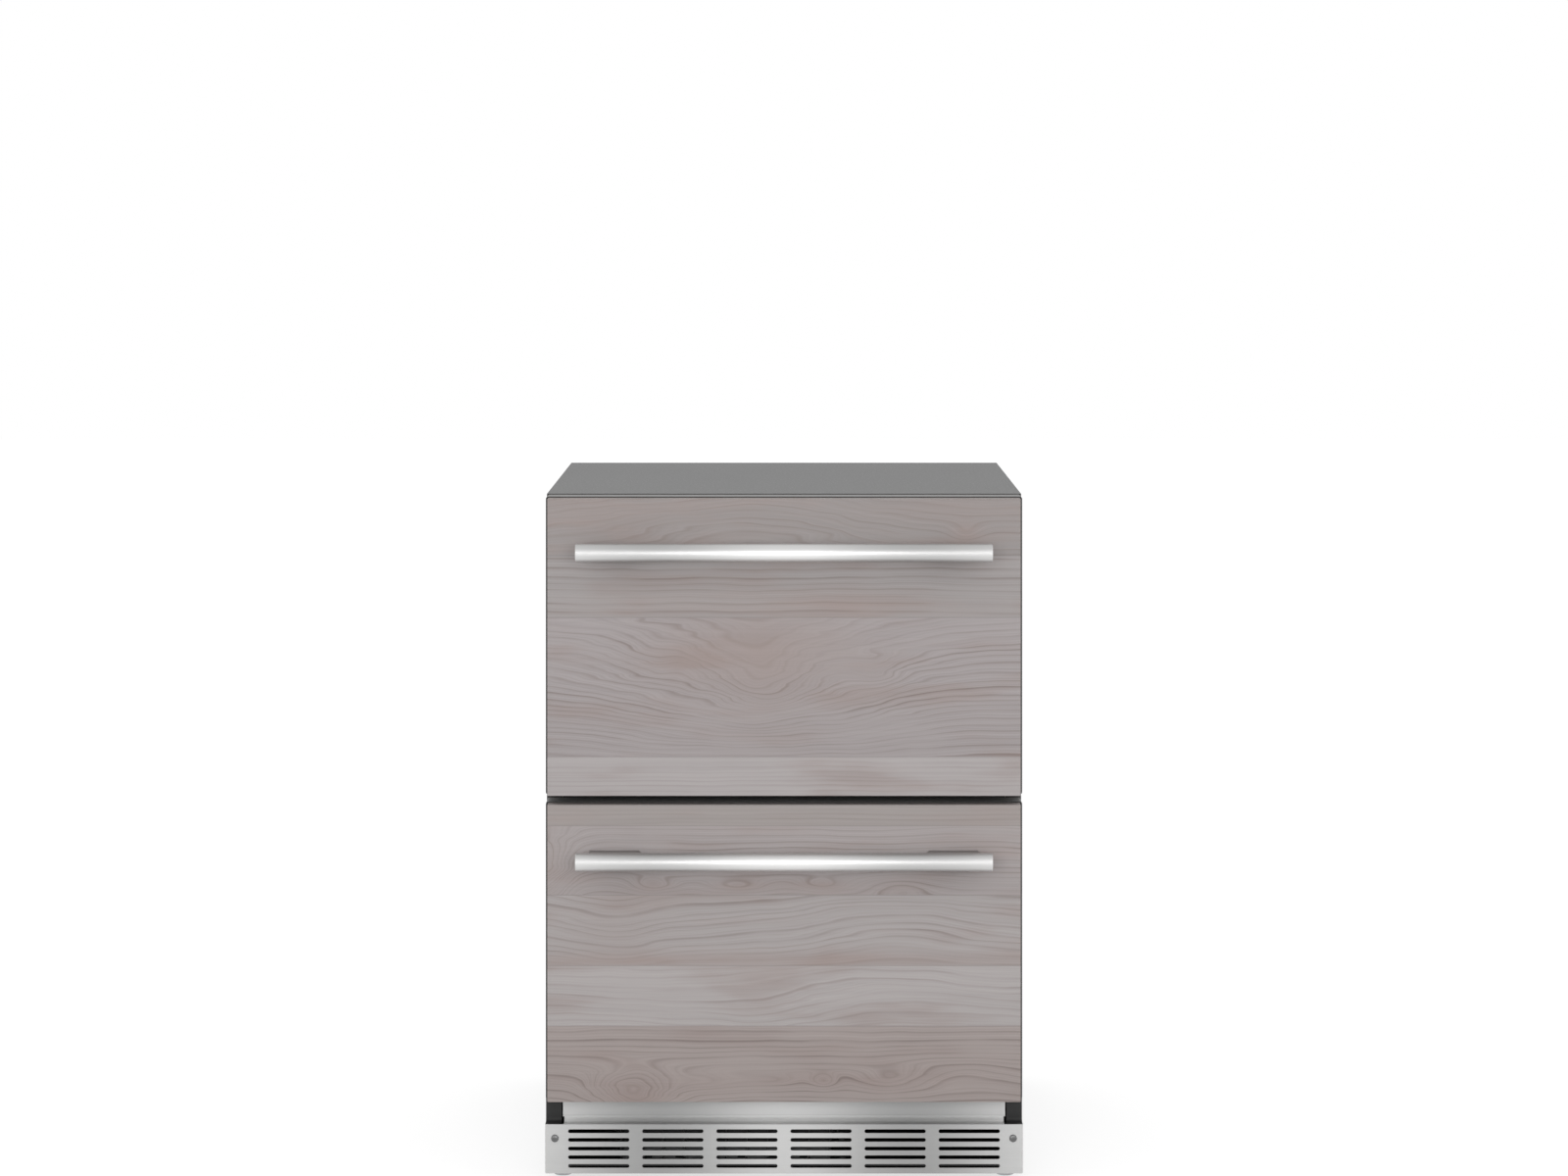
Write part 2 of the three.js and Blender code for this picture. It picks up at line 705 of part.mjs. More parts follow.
/** The machine room's rear cover: rows of inward louvres, and the bushed outlet for a supply lead. */
function machineCover() {
  const back = cabinetDepth - skin - clearance;
  const front = back - skin;
  const low = panTop + clearance;
  const high = machineRoomHeight - clearance;
  let cover = prismY(rectangle(-innerHalfWidth, innerHalfWidth, low, high), front, back);
  const [pitchX, pitchZ] = coverLouvrePitch;
  for (let column = 0; column < coverLouvreColumns; column += 1) {
    const middle = (column - (coverLouvreColumns - 1) / 2) * pitchX;
    const [x0, x1] = [middle - coverLouvreLength / 2, middle + coverLouvreLength / 2];
    for (let row = 0; row < coverLouvreRows; row += 1) {
      const z = high - coverLouvreDrop - row * pitchZ;
      const top = z + coverLouvreSlit;
      const blade = outline([
        [back, top],
        [back, top + skin],
        [front - coverLouvreReach, z + skin],
        [front - coverLouvreReach, z],
      ]);
      cover = cut(cover, block(x0, x1, front - skin, back + skin, z, top));
      cover = join(cover, prismX(blade, x0 - skin, x1 + skin));
    }
  }
  const [outletX, outletZ] = [outletInset - halfWidth, low + outletRise];
  const bushFront = front - outletBushReach;
  const bush = prismY(disc(outletX, outletZ, outletBushRadius), bushFront, cabinetDepth, 5);
  const bore = prismY(disc(outletX, outletZ, outletBoreRadius), bushFront - past, cabinetDepth + past, 5);
  return cut(join(cover, bush), bore);
}

/** The places of the four levelling feet. */
function footPlaces() {
  const x = halfWidth - footSideInset;
  return [
    ['front_left', -x, footEndInset],
    ['front_right', x, footEndInset],
    ['rear_left', -x, cabinetDepth - footEndInset],
    ['rear_right', x, cabinetDepth - footEndInset],
  ];
}

/** The pan that carries the machinery: folded edges, a boss for each foot and air slots. */
function basePan() {
  const front = 2 * skin;
  const back = cabinetDepth - 2 * skin - 2 * clearance;
  const tray = block(-innerHalfWidth, innerHalfWidth, front, back, underside, underside + panFlange);
  const inner = innerHalfWidth - panSheet;
  let pan = cut(tray, block(-inner, inner, front + panSheet, back + panSheet, panTop, cabinetHeight));
  const lipTop = panTop + panFrontLip;
  pan = cut(pan, block(-inner, inner, 0, front + 2 * panSheet, lipTop, cabinetHeight));
  for (const [, x, y] of footPlaces()) {
    pan = join(pan, prismZ(disc(x, y, footBossRadius), underside, underside + footBossHeight, 5));
    pan = cut(pan, prismZ(disc(x, y, footStemRadius + clearance), 0, cabinetHeight, 5));
  }
  const slotY = condenserSetback + condenserDepth / 2;
  for (let i = 0; i < panSlotCount; i += 1) {
    const x = condenserCentre + (i - (panSlotCount - 1) / 2) * panSlotPitch;
    const [y0, y1] = [slotY - panSlot[1] / 2, slotY + panSlot[1] / 2];
    pan = cut(pan, block(x - panSlot[0] / 2, x + panSlot[0] / 2, y0, y1, 0, panTop + past));
  }
  return pan;
}

/** A levelling foot: round pad, hexagon for the spanner and plain stem. */
function levellingFoot() {
  const chamfer = footChamfer;
  const pad = revolve(
    [
      [0, 0],
      [footRadius - chamfer, 0],
      [footRadius, chamfer],
      [footRadius, footPadHeight - chamfer],
      [footRadius - chamfer, footPadHeight],
      [footStemRadius, footPadHeight],
      [footStemRadius, footStemTop - chamfer],
      [footStemRadius - chamfer, footStemTop],
      [0, footStemTop],
    ],
    roundSides,
  );
  const corners = [0, 1, 2, 3, 4, 5].map((corner) => {
    const angle = (corner * Math.PI) / 3;
    return [footHexagonRadius * Math.cos(angle), footHexagonRadius * Math.sin(angle)];
  });
  const hexagon = prismZ(outline(corners), footPadHeight - past, footPadHeight + footHexagonHeight);
  return join(pad, hexagon);
}

// ---------------------------------------------------------------------------------------------
// Toe space
// ---------------------------------------------------------------------------------------------

/** The bright rail under the lower drawer: top fold, face, bend forward into a ledge, and hem. */
function kickRail() {
  const inner = kickFaceReach - kickSheet;
  const ledgeEnd = -grilleReach + grilleSheet + clearance;
  const fold = outline([
    [-clearance, kickTop - kickSheet],
    [-clearance, kickTop],
    [-kickFaceReach, kickTop, kickTopBend],
    [-kickFaceReach, grilleTop, kickBendRadius],
    [ledgeEnd, grilleTop],
    [ledgeEnd, grilleTop - kickHem],
    [ledgeEnd + kickSheet, grilleTop - kickHem],
    [ledgeEnd + kickSheet, grilleTop - kickSheet],
    [-inner, grilleTop - kickSheet, kickBendRadius + kickSheet],
    [-inner, kickTop - kickSheet],
  ]);
  let rail = prismX(fold, -kickHalfWidth, kickHalfWidth, 6);
  const reliefLow = grilleTop - kickReliefHeight / 3;
  for (const [, side] of sides) {
    const [x0, x1] = ordered(side * (kickHalfWidth - kickReliefDepth), side * halfWidth);
    const [y0, y1] = [-grilleReach, 2 * kickSheet - kickFaceReach];
    rail = cut(rail, block(x0, x1, y0, y1, reliefLow, reliefLow + kickReliefHeight));
  }
  return rail;
}

/** The moulded block beside the rail, which carries the grille and its screw. */
function cornerBlock(side) {
  const body = outline([
    [-clearance, blockBottom],
    [grilleBack + clearance, blockBottom],
    [grilleBack + clearance, grilleTop - clearance],
    [-blockFaceReach, grilleTop - clearance, blockBend],
    [-blockFaceReach, blockTop],
    [-clearance, blockTop],
  ]);
  const inner = halfWidth - frontReturn + blockGap;
  const [low, high] = ordered(side * inner, side * halfWidth);
  const hole = disc(side * screwX, screwZ, screwShankRadius + clearance);
  const bore = prismY(hole, grilleBack - past, grilleBack + screwShankLength + screwHoleRoom, 4);
  const wall = blockWall;
  const [x0, x1] = [low + wall, high - wall];
  const pocket = block(x0, x1, -blockPocketDepth, 0, grilleTop + wall, blockTop - wall);
  const lowTop = screwZ - screwHeadRadius - 2 * wall;
  const lowPocket = block(x0, x1, -blockLowPocketDepth, 0, blockBottom + wall, lowTop);
  return cut(prismX(body, low, high), bore, pocket, lowPocket);
}

/** The toe grille: slotted plate with a lower fold and a hole for each screw. */
function toeGrille() {
  const plate = prismY(
    rectangle(-halfWidth, halfWidth, grilleBottom, grilleTop, grilleCornerRadius),
    -grilleReach,
    grilleBack,
    1,
  );
  const foldX = halfWidth - frontReturn - kickEndGap;
  const foldBack = grilleBack + grilleFlange;
  const foldTop = grilleBottom + grilleFlangeSheet;
  let grille = join(plate, block(-foldX, foldX, grilleBack, foldBack, grilleBottom, foldTop));
  for (let column = 0; column < slotColumns; column += 1) {
    const x = (column - (slotColumns - 1) / 2) * slotColumnPitch;
    for (let row = 0; row < slotRows; row += 1) {
      const z = grilleTop - slotTopDrop - row * slotRowPitch;
      const opening = slot(x, z, slotLength, slotHeight);
      grille = cut(grille, prismY(opening, -grilleReach - past, grilleBack + past));
    }
  }
  for (const [, side] of sides) {
    const hole = disc(side * screwX, screwZ, screwShankRadius + clearance);
    grille = cut(grille, prismY(hole, -grilleReach - past, grilleBack + past, 4));
  }
  return grille;
}

/** A pan-head screw with a cross recess, standing on the plane z = 0 with its shank downwards. */
function panHeadScrew() {
  const body = revolve(
    [
      [0, -screwShankLength],
      [screwShankRadius * 0.6, -screwShankLength],
      [screwShankRadius, screwPoint - screwShankLength],
      [screwShankRadius, 0],
      [screwHeadRadius, 0],
      [screwHeadRadius, screwHeadHeight * 0.35],
      [screwHeadRadius * 0.82, screwHeadHeight * 0.8],
      [screwHeadRadius * 0.4, screwHeadHeight],
      [0, screwHeadHeight],
    ],
    roundSides,
  );
  const [arm, half] = [screwRecess[0] / 2, screwRecess[1] / 2];
  const floor = screwHeadHeight * 0.35;
  return cut(
    body,
    block(-arm, arm, -half, half, floor, 2 * screwHeadHeight),
    block(-half, half, -arm, arm, floor, 2 * screwHeadHeight),
  );
}

// ---------------------------------------------------------------------------------------------
// Cooling circuit and fans
// ---------------------------------------------------------------------------------------------

/** A solid turned so that what pointed along +Z points along -Y, towards the front. */
function facingFront(solid) {
  const geometry = geometryOf(solid);
  geometry.rotateX(Math.PI / 2);
  return solidOf(geometry);
}

/** A block of upright fins on a core, centred on x = 0 and y = 0, with bends at both ends. */
function finnedCoil(width, depth, height, finCount) {
  const pitch = (width - finSheet) / (finCount - 1);
  const comb = (side) => {
    const corners = [];
    for (let i = 0; i < finCount; i += 1) {
      const x = side * (width / 2 - i * pitch);
      const next = x - side * finSheet;
      if (i > 0) {
        corners.push([x, (side * coilCore) / 2]);
      }
      corners.push([x, (side * depth) / 2], [next, (side * depth) / 2]);
      if (i + 1 < finCount) {
        corners.push([next, (side * coilCore) / 2]);
      }
    }
    return corners;
  };
  let coil = prismZ(outline([...comb(1), ...comb(-1)]), 0, height);
  const step = height / (coilPasses + 1);
  for (let pass = 1; pass < coilPasses; pass += 1) {
    const end = pass % 2 === 0 ? -1 : 1;
    const [start, reach] = [end * (width / 2 - past), end * (width / 2 + step * 0.6)];
    const shoulder = reach - end * step * 0.15;
    const [low, high] = [pass * step, (pass + 1) * step];
    const route = [
      [start, 0, low],
      [shoulder, 0, low + step * 0.12],
      [reach, 0, (low + high) / 2],
      [shoulder, 0, high - step * 0.12],
      [start, 0, high],
    ];
    coil = join(coil, bentTube(route, coilCore / 2 - finSheet / 2, 6, 3));
  }
  return coil;
}

/** An axial fan about the Z axis: a bored hub and cambered blades set at an angle. */
function axialFan(tipRadius, bladeCount, depth, shaftRadius) {
  const hubRadius = tipRadius * 0.3;
  const hub = revolve(
    [
      [shaftRadius, -depth / 2],
      [hubRadius, -depth / 2],
      [hubRadius, depth / 2 - hubEdge],
      [hubRadius - hubEdge, depth / 2],
      [shaftRadius, depth / 2],
      [shaftRadius, -depth / 2],
    ],
    hubSides,
  );
  // Each station: radius, share of the circle that the blades cover, pitch in radians
  const stations = [
    [hubRadius - past, 0.55, 0.62],
    [(hubRadius + tipRadius) / 2, 0.74, 0.5],
    [tipRadius, 0.8, 0.4],
  ];
  const thickness = bladeThickness / 2;
  const section = ([radius, spread, pitch], turn) => {
    const chord = (spread * 2 * Math.PI * radius) / bladeCount;
    const half = Math.min(chord / 2, (depth / 2 - past) / Math.sin(pitch));
    const camber = half * 0.12;
    const points = [
      [-half, -thickness],
      [0, camber - thickness],
      [half, -thickness],
      [half, thickness],
      [0, camber + thickness],
      [-half, thickness],
    ];
    return points.map(([along, across]) => {
      const tangent = along * Math.cos(pitch) - across * Math.sin(pitch);
      const axial = along * Math.sin(pitch) + across * Math.cos(pitch);
      const angle = turn + tangent / radius;
      return new THREE.Vector3(radius * Math.cos(angle), radius * Math.sin(angle), axial);
    });
  };
  let fan = hub;
  for (let blade = 0; blade < bladeCount; blade += 1) {
    const turn = (blade * 2 * Math.PI) / bladeCount;
    fan = join(fan, loft(stations.map((station) => section(station, turn))));
  }
  return fan;
}

/** A fan motor on a cross of arms: the arms' seat is at z = 0 and the shaft points along +Z. */
function fanMotor(radius, length, armReach, legLength, shaftLength, shaftRadius) {
  const [armWidth, armSheet] = fanArm;
  const armTop = -legLength;
  const armLow = armTop - armSheet;
  let motor = revolve(
    [
      [0, armLow - length],
      [radius * 0.7, armLow - length],
      [radius, armLow - length * 0.8],
      [radius, armLow],
      [radius * 0.6, armLow + armSheet],
      [shaftRadius, armLow + armSheet],
      [shaftRadius, shaftLength],
      [0, shaftLength],
    ],
    roundSides,
  );
  const half = armWidth / 2;
  motor = join(motor, block(-armReach, armReach, -half, half, armLow, armTop));
  motor = join(motor, block(-half, half, -armReach, armReach, armLow, armTop));
  if (legLength > 0) {
    for (const end of [-1, 1]) {
      const [x0, x1] = ordered(end * (armReach - fanLeg[1]), end * armReach);
      motor = join(motor, block(x0, x1, -half, half, armLow, 0));
      motor = join(motor, block(-half, half, x0, x1, armLow, 0));
    }
  }
  return motor;
}

/** The evaporator cover: a tray open to the back, with slots over the fan and along its foot. */
function evaporatorCover() {
  const halfX = linerFaceX - evaporatorCoverSideGap;
  const low = mullionHigh + evaporatorCoverFootGap;
  const high = cavityCeiling - linerInset - clearance;
  const back = evaporatorCoverFace + evaporatorSpace - cavityRadius;
  const wall = evaporatorCoverSheet;
  const front = evaporatorCoverFace;
  const radius = evaporatorCoverRadius;
  const inside = rectangle(-halfX + wall, halfX - wall, low + wall, high - wall, radius - wall);
  let cover = cut(
    prismY(rectangle(-halfX, halfX, low, high, radius), front, back),
    prismY(inside, front + wall, back + past),
  );
  const pitch = (2 * evaporatorFanRadius) / fanSlotCount;
  for (let i = 0; i < fanSlotCount; i += 1) {
    const z = (i - (fanSlotCount - 1) / 2) * pitch;
    const length = 2 * Math.sqrt(evaporatorFanRadius ** 2 - z ** 2);
    const opening = slot(0, evaporatorFanZ + z, length, fanSlotHeight);
    cover = cut(cover, prismY(opening, front - past, front + wall + past));
  }
  for (let i = 0; i < footSlotCount; i += 1) {
    const x = (i - (footSlotCount - 1) / 2) * footSlotPitch;
    const opening = slot(x, low + footSlotRise, ...footSlot);
    cover = cut(cover, prismY(opening, front - past, front + wall + past));
  }
  return cover;
}

/** The condenser fan's shroud: a hollow square frame round a short duct. */
function fanShroud() {
  const half = shroudSize / 2;
  const wall = shroudWall;
  const duct = condenserFanRadius + fanTipGap;
  const tube = (radius) => prismY(disc(0, 0, radius), -past, shroudDepth + past, 8);
  const inner = half - wall;
  const hollow = prismY(
    rectangle(-inner, inner, -inner, inner, shroudRadius - wall),
    wall,
    shroudDepth + past,
  );
  let frame = cut(prismY(rectangle(-half, half, -half, half, shroudRadius), 0, shroudDepth), hollow);
  frame = join(frame, prismY(disc(0, 0, duct + wall), 0, shroudDepth, 8));
  const post = half - shroudPostInset;
  for (const x of [-post, post]) {
    for (const z of [-post, post]) {
      frame = join(frame, prismY(disc(x, z, shroudPostRadius), 0, shroudDepth, 3));
    }
  }
  return cut(frame, tube(duct));
}

/** The sealed compressor: shell with its weld seam, foot plate, grommets and terminal box. */
function compressor() {
  const base = grommetHeight + footPlateSheet;
  const top = compressorHeight;
  const radius = compressorRadius - compressorWeldLip;
  const seam = (base + top) / 2;
  const seamHalf = compressorSeamHeight / 2;
  let body = revolve(
    [
      [0, base - past],
      [radius * 0.6, base - past],
      [radius * 0.9, base + compressorBowl * 0.4],
      [radius, base + compressorBowl],
      [radius, seam - seamHalf - 1],
      [compressorRadius, seam - seamHalf],
      [compressorRadius, seam + seamHalf],
      [radius, seam + seamHalf + 1],
      [radius, top - compressorDome],
      [radius * 0.9, top - compressorDome * 0.45],
      [radius * 0.68, top - compressorDome * 0.125],
      [radius * 0.45, top],
      [0, top],
    ],
    compressorSides,
  );
  const reach = radius - past;
  const foot = rectangle(-reach, reach, -reach, reach, footPlateRadius);
  body = join(body, prismZ(foot, grommetHeight, base));
  const corner = reach - grommetInset;
  for (const x of [-corner, corner]) {
    for (const y of [-corner, corner]) {
      body = join(body, prismZ(disc(x, y, grommetRadius), 0, grommetHeight + past, 4));
    }
  }
  const [boxWidth, boxDepth, boxHeight] = terminalBox;
  const [front, low] = [-compressorRadius - terminalBoxReach, seam + terminalBoxRise];
  const box = block(-boxWidth / 2, boxWidth / 2, front, front + boxDepth, low, low + boxHeight);
  return join(body, box);
}

/** The drain pan that rests on the compressor and lets its warmth dry the defrost water. */
function drainPan() {
  const [halfX, halfY] = drainPanSize.map((length) => length / 2);
  const wall = drainPanWall;
  const outer = prismZ(rectangle(-halfX, halfX, -halfY, halfY, drainPanRadius), 0, drainPanHeight);
  const [innerX, innerY] = [halfX - wall, halfY - wall];
  const inner = rectangle(-innerX, innerX, -innerY, innerY, drainPanRadius - wall);
  return cut(outer, prismZ(inner, wall, drainPanHeight + past));
}

/** The hot line from the compressor to the condenser, with the filter drier on its straight run. */
function refrigerantLine(startZ, endX) {
  const startX = compressorX - compressorRadius + compressorWeldLip - clearance;
  const laneX = shroudSize / 2 + condenserCentre + refrigerantLaneGap;
  const endY = condenserSetback + condenserDepth + clearance;
  const laneZ = refrigerantLaneHeight;
  const [drop, end] = [refrigerantLineDrop, refrigerantLineEnd];
  const line = bentTube(
    [
      [startX, compressorY, startZ],
      [startX - refrigerantLineLead, compressorY, startZ],
      [laneX + refrigerantLineLead / 4, compressorY - drop * 0.2, startZ - drop / 6],
      [laneX, compressorY - drop, laneZ + drop * 0.23],
      [laneX, machineWall - drop / 3, laneZ],
      [laneX, endY + end, laneZ],
      [(laneX + endX) / 2, endY + end * 0.34, laneZ],
      [endX, endY + end * 0.13, laneZ],
      [endX, endY, laneZ],
    ],
    refrigerantTubeRadius,
    24,
    3,
  );
  const drier = revolve(
    [
      [0, -drierHalfLength],
      [refrigerantTubeRadius + past, -drierHalfLength],
      [drierRadius, drierTaper - drierHalfLength],
      [drierRadius, drierHalfLength - drierTaper],
      [refrigerantTubeRadius + past, drierHalfLength],
      [0, drierHalfLength],
    ],
    roundSides,
  );
  return join(line, moved(facingFront(drier), laneX, machineWall - drierSetback, laneZ));
}

/** The control and light housing under the ceiling, with a pocket for the lens. */
function controlHousing() {
  const low = housingTop - housingHeight;
  const front = housingSetback;
  const back = housingSetback + housingDepth;
  const [chinDepth, chinHeight] = housingChin;
  const body = outline([
    [front + chinDepth, low, housingEdgeRadius],
    [back, low, housingEdgeRadius],
    [back, housingTop],
    [front, housingTop],
    [front, low + chinHeight, housingEdgeRadius],
  ]);
  const pocketX = lensWidth / 2 + clearance;
  const [y0, y1] = [-1, 1].map((end) => housingMiddle + end * (lensDepth / 2 + clearance));
  let housing = cut(
    prismX(body, -housingWidth / 2, housingWidth / 2),
    block(-pocketX, pocketX, y0, y1, low - past, low + lensThickness + clearance),
  );
  const [width, length, depth] = housingSlot;
  const [slotFront, slotBack] = [housingMiddle - length / 2, housingMiddle + length / 2];
  for (const side of [-1, 1]) {
    for (let i = 0; i < housingSlotCount; i += 1) {
      const x = side * (lensWidth / 2 + housingSlotStart + i * housingSlotPitch);
      const opening = block(x - width / 2, x + width / 2, slotFront, slotBack, low - past, low + depth);
      housing = cut(housing, opening);
    }
  }
  return housing;
}

/** The light lens: a ribbed clear cover that lies in the housing's pocket. */
function lightLens() {
  const low = housingTop - housingHeight;
  const [halfX, halfY] = [lensWidth / 2, lensDepth / 2];
  const [front, back] = [housingMiddle - halfY, housingMiddle + halfY];
  let lens = block(-halfX, halfX, front, back, low, low + lensThickness);
  const [width, length, depth] = lensGroove;
  const [grooveFront, grooveBack] = [housingMiddle - length / 2, housingMiddle + length / 2];
  for (let i = 0; i < lensRibCount; i += 1) {
    const x = (i - (lensRibCount - 1) / 2) * lensRibPitch;
    const groove = block(x - width / 2, x + width / 2, grooveFront, grooveBack, low - past, low + depth);
    lens = cut(lens, groove);
  }
  return lens;
}

// ---------------------------------------------------------------------------------------------
// Telescopic slides: three nested channels on each side of each drawer
// ---------------------------------------------------------------------------------------------

const fixedHalf = slideHeight / 2;
const middleHalf = fixedHalf - slideFlange - clearance;
const runnerHalf = middleHalf - slideFlange - clearance;
const fixedWeb = clearance;
const middleWeb = fixedWeb + slideSheet + clearance;
const channelEnd = fixedWeb + slideDepth;
const runnerWeb = channelEnd + clearance;
const runnerFace = runnerWeb + slideSheet;
const binHalfWidth = linerFaceX - runnerFace - shelfWidth - binLedgeGap;
const dikeHalfWidth = linerFaceX - runnerFace - shelfWidth - dikeSideGap;

/** The x of a point that lies a distance inwards from the liner's wall. */
const fromLiner = (side, inwards) => side * (linerFaceX - inwards);

/** A channel outline with its web towards the liner and its flanges standing inwards. */
function channelOutline(side, web, half) {
  const end = fromLiner(side, channelEnd);
  const face = fromLiner(side, web);
  const back = fromLiner(side, web + slideSheet);
  return outline([
    [face, -half],
    [end, -half],
    [end, slideFlange - half],
    [back, slideFlange - half],
    [back, half - slideFlange],
    [end, half - slideFlange],
    [end, half],
    [face, half],
  ]);
}

/** The member that is screwed to the liner, with its screw slots. */
function fixedMember(side) {
  const channel = prismY(channelOutline(side, fixedWeb, fixedHalf), slideSetback, slideBack);
  const x = ordered(fromLiner(side, -past), fromLiner(side, middleWeb));
  const slots = slideScrewShares.map((share) =>
    prismX(slot(slideSetback + share * slideLength, 0, ...slideScrewSlot), ...x),
  );
  return cut(channel, ...slots);
}

/** The middle member, with long windows in its web. */
function middleMember(side) {
  const channel = prismY(channelOutline(side, middleWeb, middleHalf), slideSetback, slideBack);
  const x = ordered(fromLiner(side, 0), fromLiner(side, middleWeb + 2 * slideSheet));
  const windows = middleWindowShares.map((share) =>
    prismX(slot(slideSetback + share * slideLength, 0, ...middleWindow), ...x),
  );
  return cut(channel, ...windows);
}

/** The drawer's runner: inner channel, ledge for the bin and a bracket to the drawer front. */
function runner(side) {
  const near = fromLiner(side, middleWeb + slideSheet + clearance);
  const web = fromLiner(side, runnerWeb);
  const face = fromLiner(side, runnerFace);
  const ledge = fromLiner(side, runnerFace + shelfWidth);
  const channel = outline([
    [near, -runnerHalf],
    [face, -runnerHalf],
    [face, runnerHalf - slideFlange],
    [ledge, runnerHalf - slideFlange],
    [ledge, runnerHalf],
    [near, runnerHalf],
    [near, runnerHalf - slideFlange],
    [web, runnerHalf - slideFlange],
    [web, slideFlange - runnerHalf],
    [near, slideFlange - runnerHalf],
  ]);
  const seat = doorBack + clearance;
  const armX = ordered(web, face);
  const padX = ordered(web, ledge);
  const rise = outline([
    [seat, -runnerHalf],
    [slideSetback + past, -runnerHalf],
    [slideSetback + past, runnerHalf],
    [seat, runnerHalf],
  ]);
  return join(
    prismY(channel, slideSetback, slideBack),
    prismX(rise, armX[0], armX[1]),
    block(padX[0], padX[1], seat, seat + bracketSheet, -runnerHalf, runnerHalf),
  );
}

// ---------------------------------------------------------------------------------------------
// Drawers: z = 0 is the lower edge of the drawer front
// ---------------------------------------------------------------------------------------------

const studMiddle = (postOuter + postInnerAtPanel) / 2;
const barZ = doorHeight - panelEndReveal - barDrop;
const barY = panelFace - barStandoff;

/** The stud positions of both posts. */
function studPlaces() {
  return [-1, 1].flatMap((side) => [-0.5, 0.5].map((step) => side * studMiddle + step * studPitch));
}

/** Round holes for all studs, from y = low to y = high. */
function studHoles(low, high) {
  const radius = studRadius + clearance;
  return studPlaces().map((x) => prismY(disc(x, barZ, radius), low, high, 3));
}

/** The folded pan of a drawer front, open at the back inside a narrow return. */
function doorShell() {
  const half = doorWidth / 2;
  const framed = (inset, radius) =>
    rectangle(inset - half, half - inset, inset, doorHeight - inset, radius);
  return cut(
    prismY(framed(0, doorCornerRadius), doorFront, doorBack),
    prismY(framed(skin, doorCornerRadius - skin), doorFront + skin, doorBack - skin),
    prismY(framed(doorBackReturn, doorCornerRadius), doorBack - 2 * skin, doorBack + skin),
    ...studHoles(doorFront - past, doorFront + 2 * skin),
  );
}

/** The inner door: filling of the pan, flat back, and the drafted plug that enters the opening. */
function innerDoor(openingLow, openingHigh) {
  const half = doorWidth / 2;
  const framed = (inset, radius) =>
    rectangle(inset - half, half - inset, inset, doorHeight - inset, radius);
  const gap = skin + clearance;
  const fill = prismY(framed(gap, doorCornerRadius - skin), doorFront + gap, doorBack - gap);
  const flat = prismY(framed(doorBackReturn + clearance, doorCornerRadius), doorBack - 2 * gap, doorBack);
  const [low, high] = [openingLow + dikeClearance, openingHigh - dikeClearance];
  const rings = [
    [0, clearance],
    [0, -dikeFlatLip],
    [dikeShoulder, dikeShoulder - dikeDepth],
    [dikeTopInset, -dikeDepth],
  ].map(([inset, rise]) => {
    const x = dikeHalfWidth - inset;
    return ringAt(-x, x, low + inset, high - inset, dikeCornerRadius, gasketSpace + rise);
  });
  const studEnd = doorFront + gap + studReach;
  return cut(join(fill, flat, facingFront(loft(rings))), ...studHoles(doorFront, studEnd + clearance));
}

/** The gasket: a closed ring with a wide foot, a narrow bellows and a wide magnetic head. */
function gasket(insetLow, insetHigh) {
  const half = doorWidth / 2;
  const layer = (draw, low, high) => {
    const frame = (more, radius) =>
      rectangle(
        gasketInset + more - half,
        half - gasketInset - more,
        insetLow + more,
        doorHeight - insetHigh - more,
        radius,
      );
    const ring = prismY(frame(draw, gasketCornerRadius - draw), low, high, 1);
    const inner = frame(gasketWidth - draw, gasketInnerRadius + draw);
    return cut(ring, prismY(inner, low - past, high + past, 1));
  };
  const [foot, head] = [doorBack + clearance, -clearance];
  const [neckLow, neckHigh] = [foot + gasketFoot, head - gasketFoot];
  return join(
    layer(0, foot, neckLow),
    layer(gasketNeck, neckLow, neckHigh),
    layer(0, neckHigh, head),
  );
}

/** The wood front panel with a small bevel round its face. */
function frontPanel() {
  const half = doorWidth / 2 - panelSideReveal;
  const [low, high] = [panelEndReveal, doorHeight - panelEndReveal];
  const rings = [
    [0, clearance - doorFront],
    [0, -panelFace - panelBevel],
    [panelBevel, -panelFace],
  ].map(([inset, depth]) =>
    ringAt(inset - half, half - inset, low + inset, high - inset, 0, depth),
  );
  return cut(facingFront(loft(rings)), ...studHoles(panelFace - past, doorFront + past));
}

/** The handle's round bar, with broken edges. */
function handleBar() {
  const radius = barDiameter / 2;
  const half = barLength / 2;
  const geometry = geometryOf(
    revolve(
      [
        [0, -half],
        [radius - barEdgeRadius, -half],
        [radius, barEdgeRadius - half],
        [radius, half - barEdgeRadius],
        [radius - barEdgeRadius, half],
        [0, half],
      ],
      barSides,
    ),
  );
  geometry.rotateY(Math.PI / 2);
  geometry.translate(0, barY, barZ);
  return solidOf(geometry);
}

/** A handle post: tapered in plan, hollowed to the bar, with two studs through the panel. */
function handlePost(side) {
  const seat = panelFace - clearance;
  const plan = outline([
    [side * postOuter, seat],
    [side * postInnerAtPanel, seat],
    [side * postInnerAtBar, barY],
    [side * postOuter, barY],
  ]);
  const body = prismZ(plan, barZ - postHeight / 2, barZ + postHeight / 2);
  const saddle = disc(barY, barZ, barDiameter / 2 + clearance);
  const reach = postOuter + postEndInset;
  const studEnd = doorFront + skin + clearance + studReach;
  const studs = studPlaces()
    .filter((x) => x * side > 0)
    .map((x) => prismY(disc(x, barZ, studRadius), seat - studRoot, studEnd, 3));
  return join(cut(body, prismX(saddle, -reach, reach, 12)), ...studs);
}

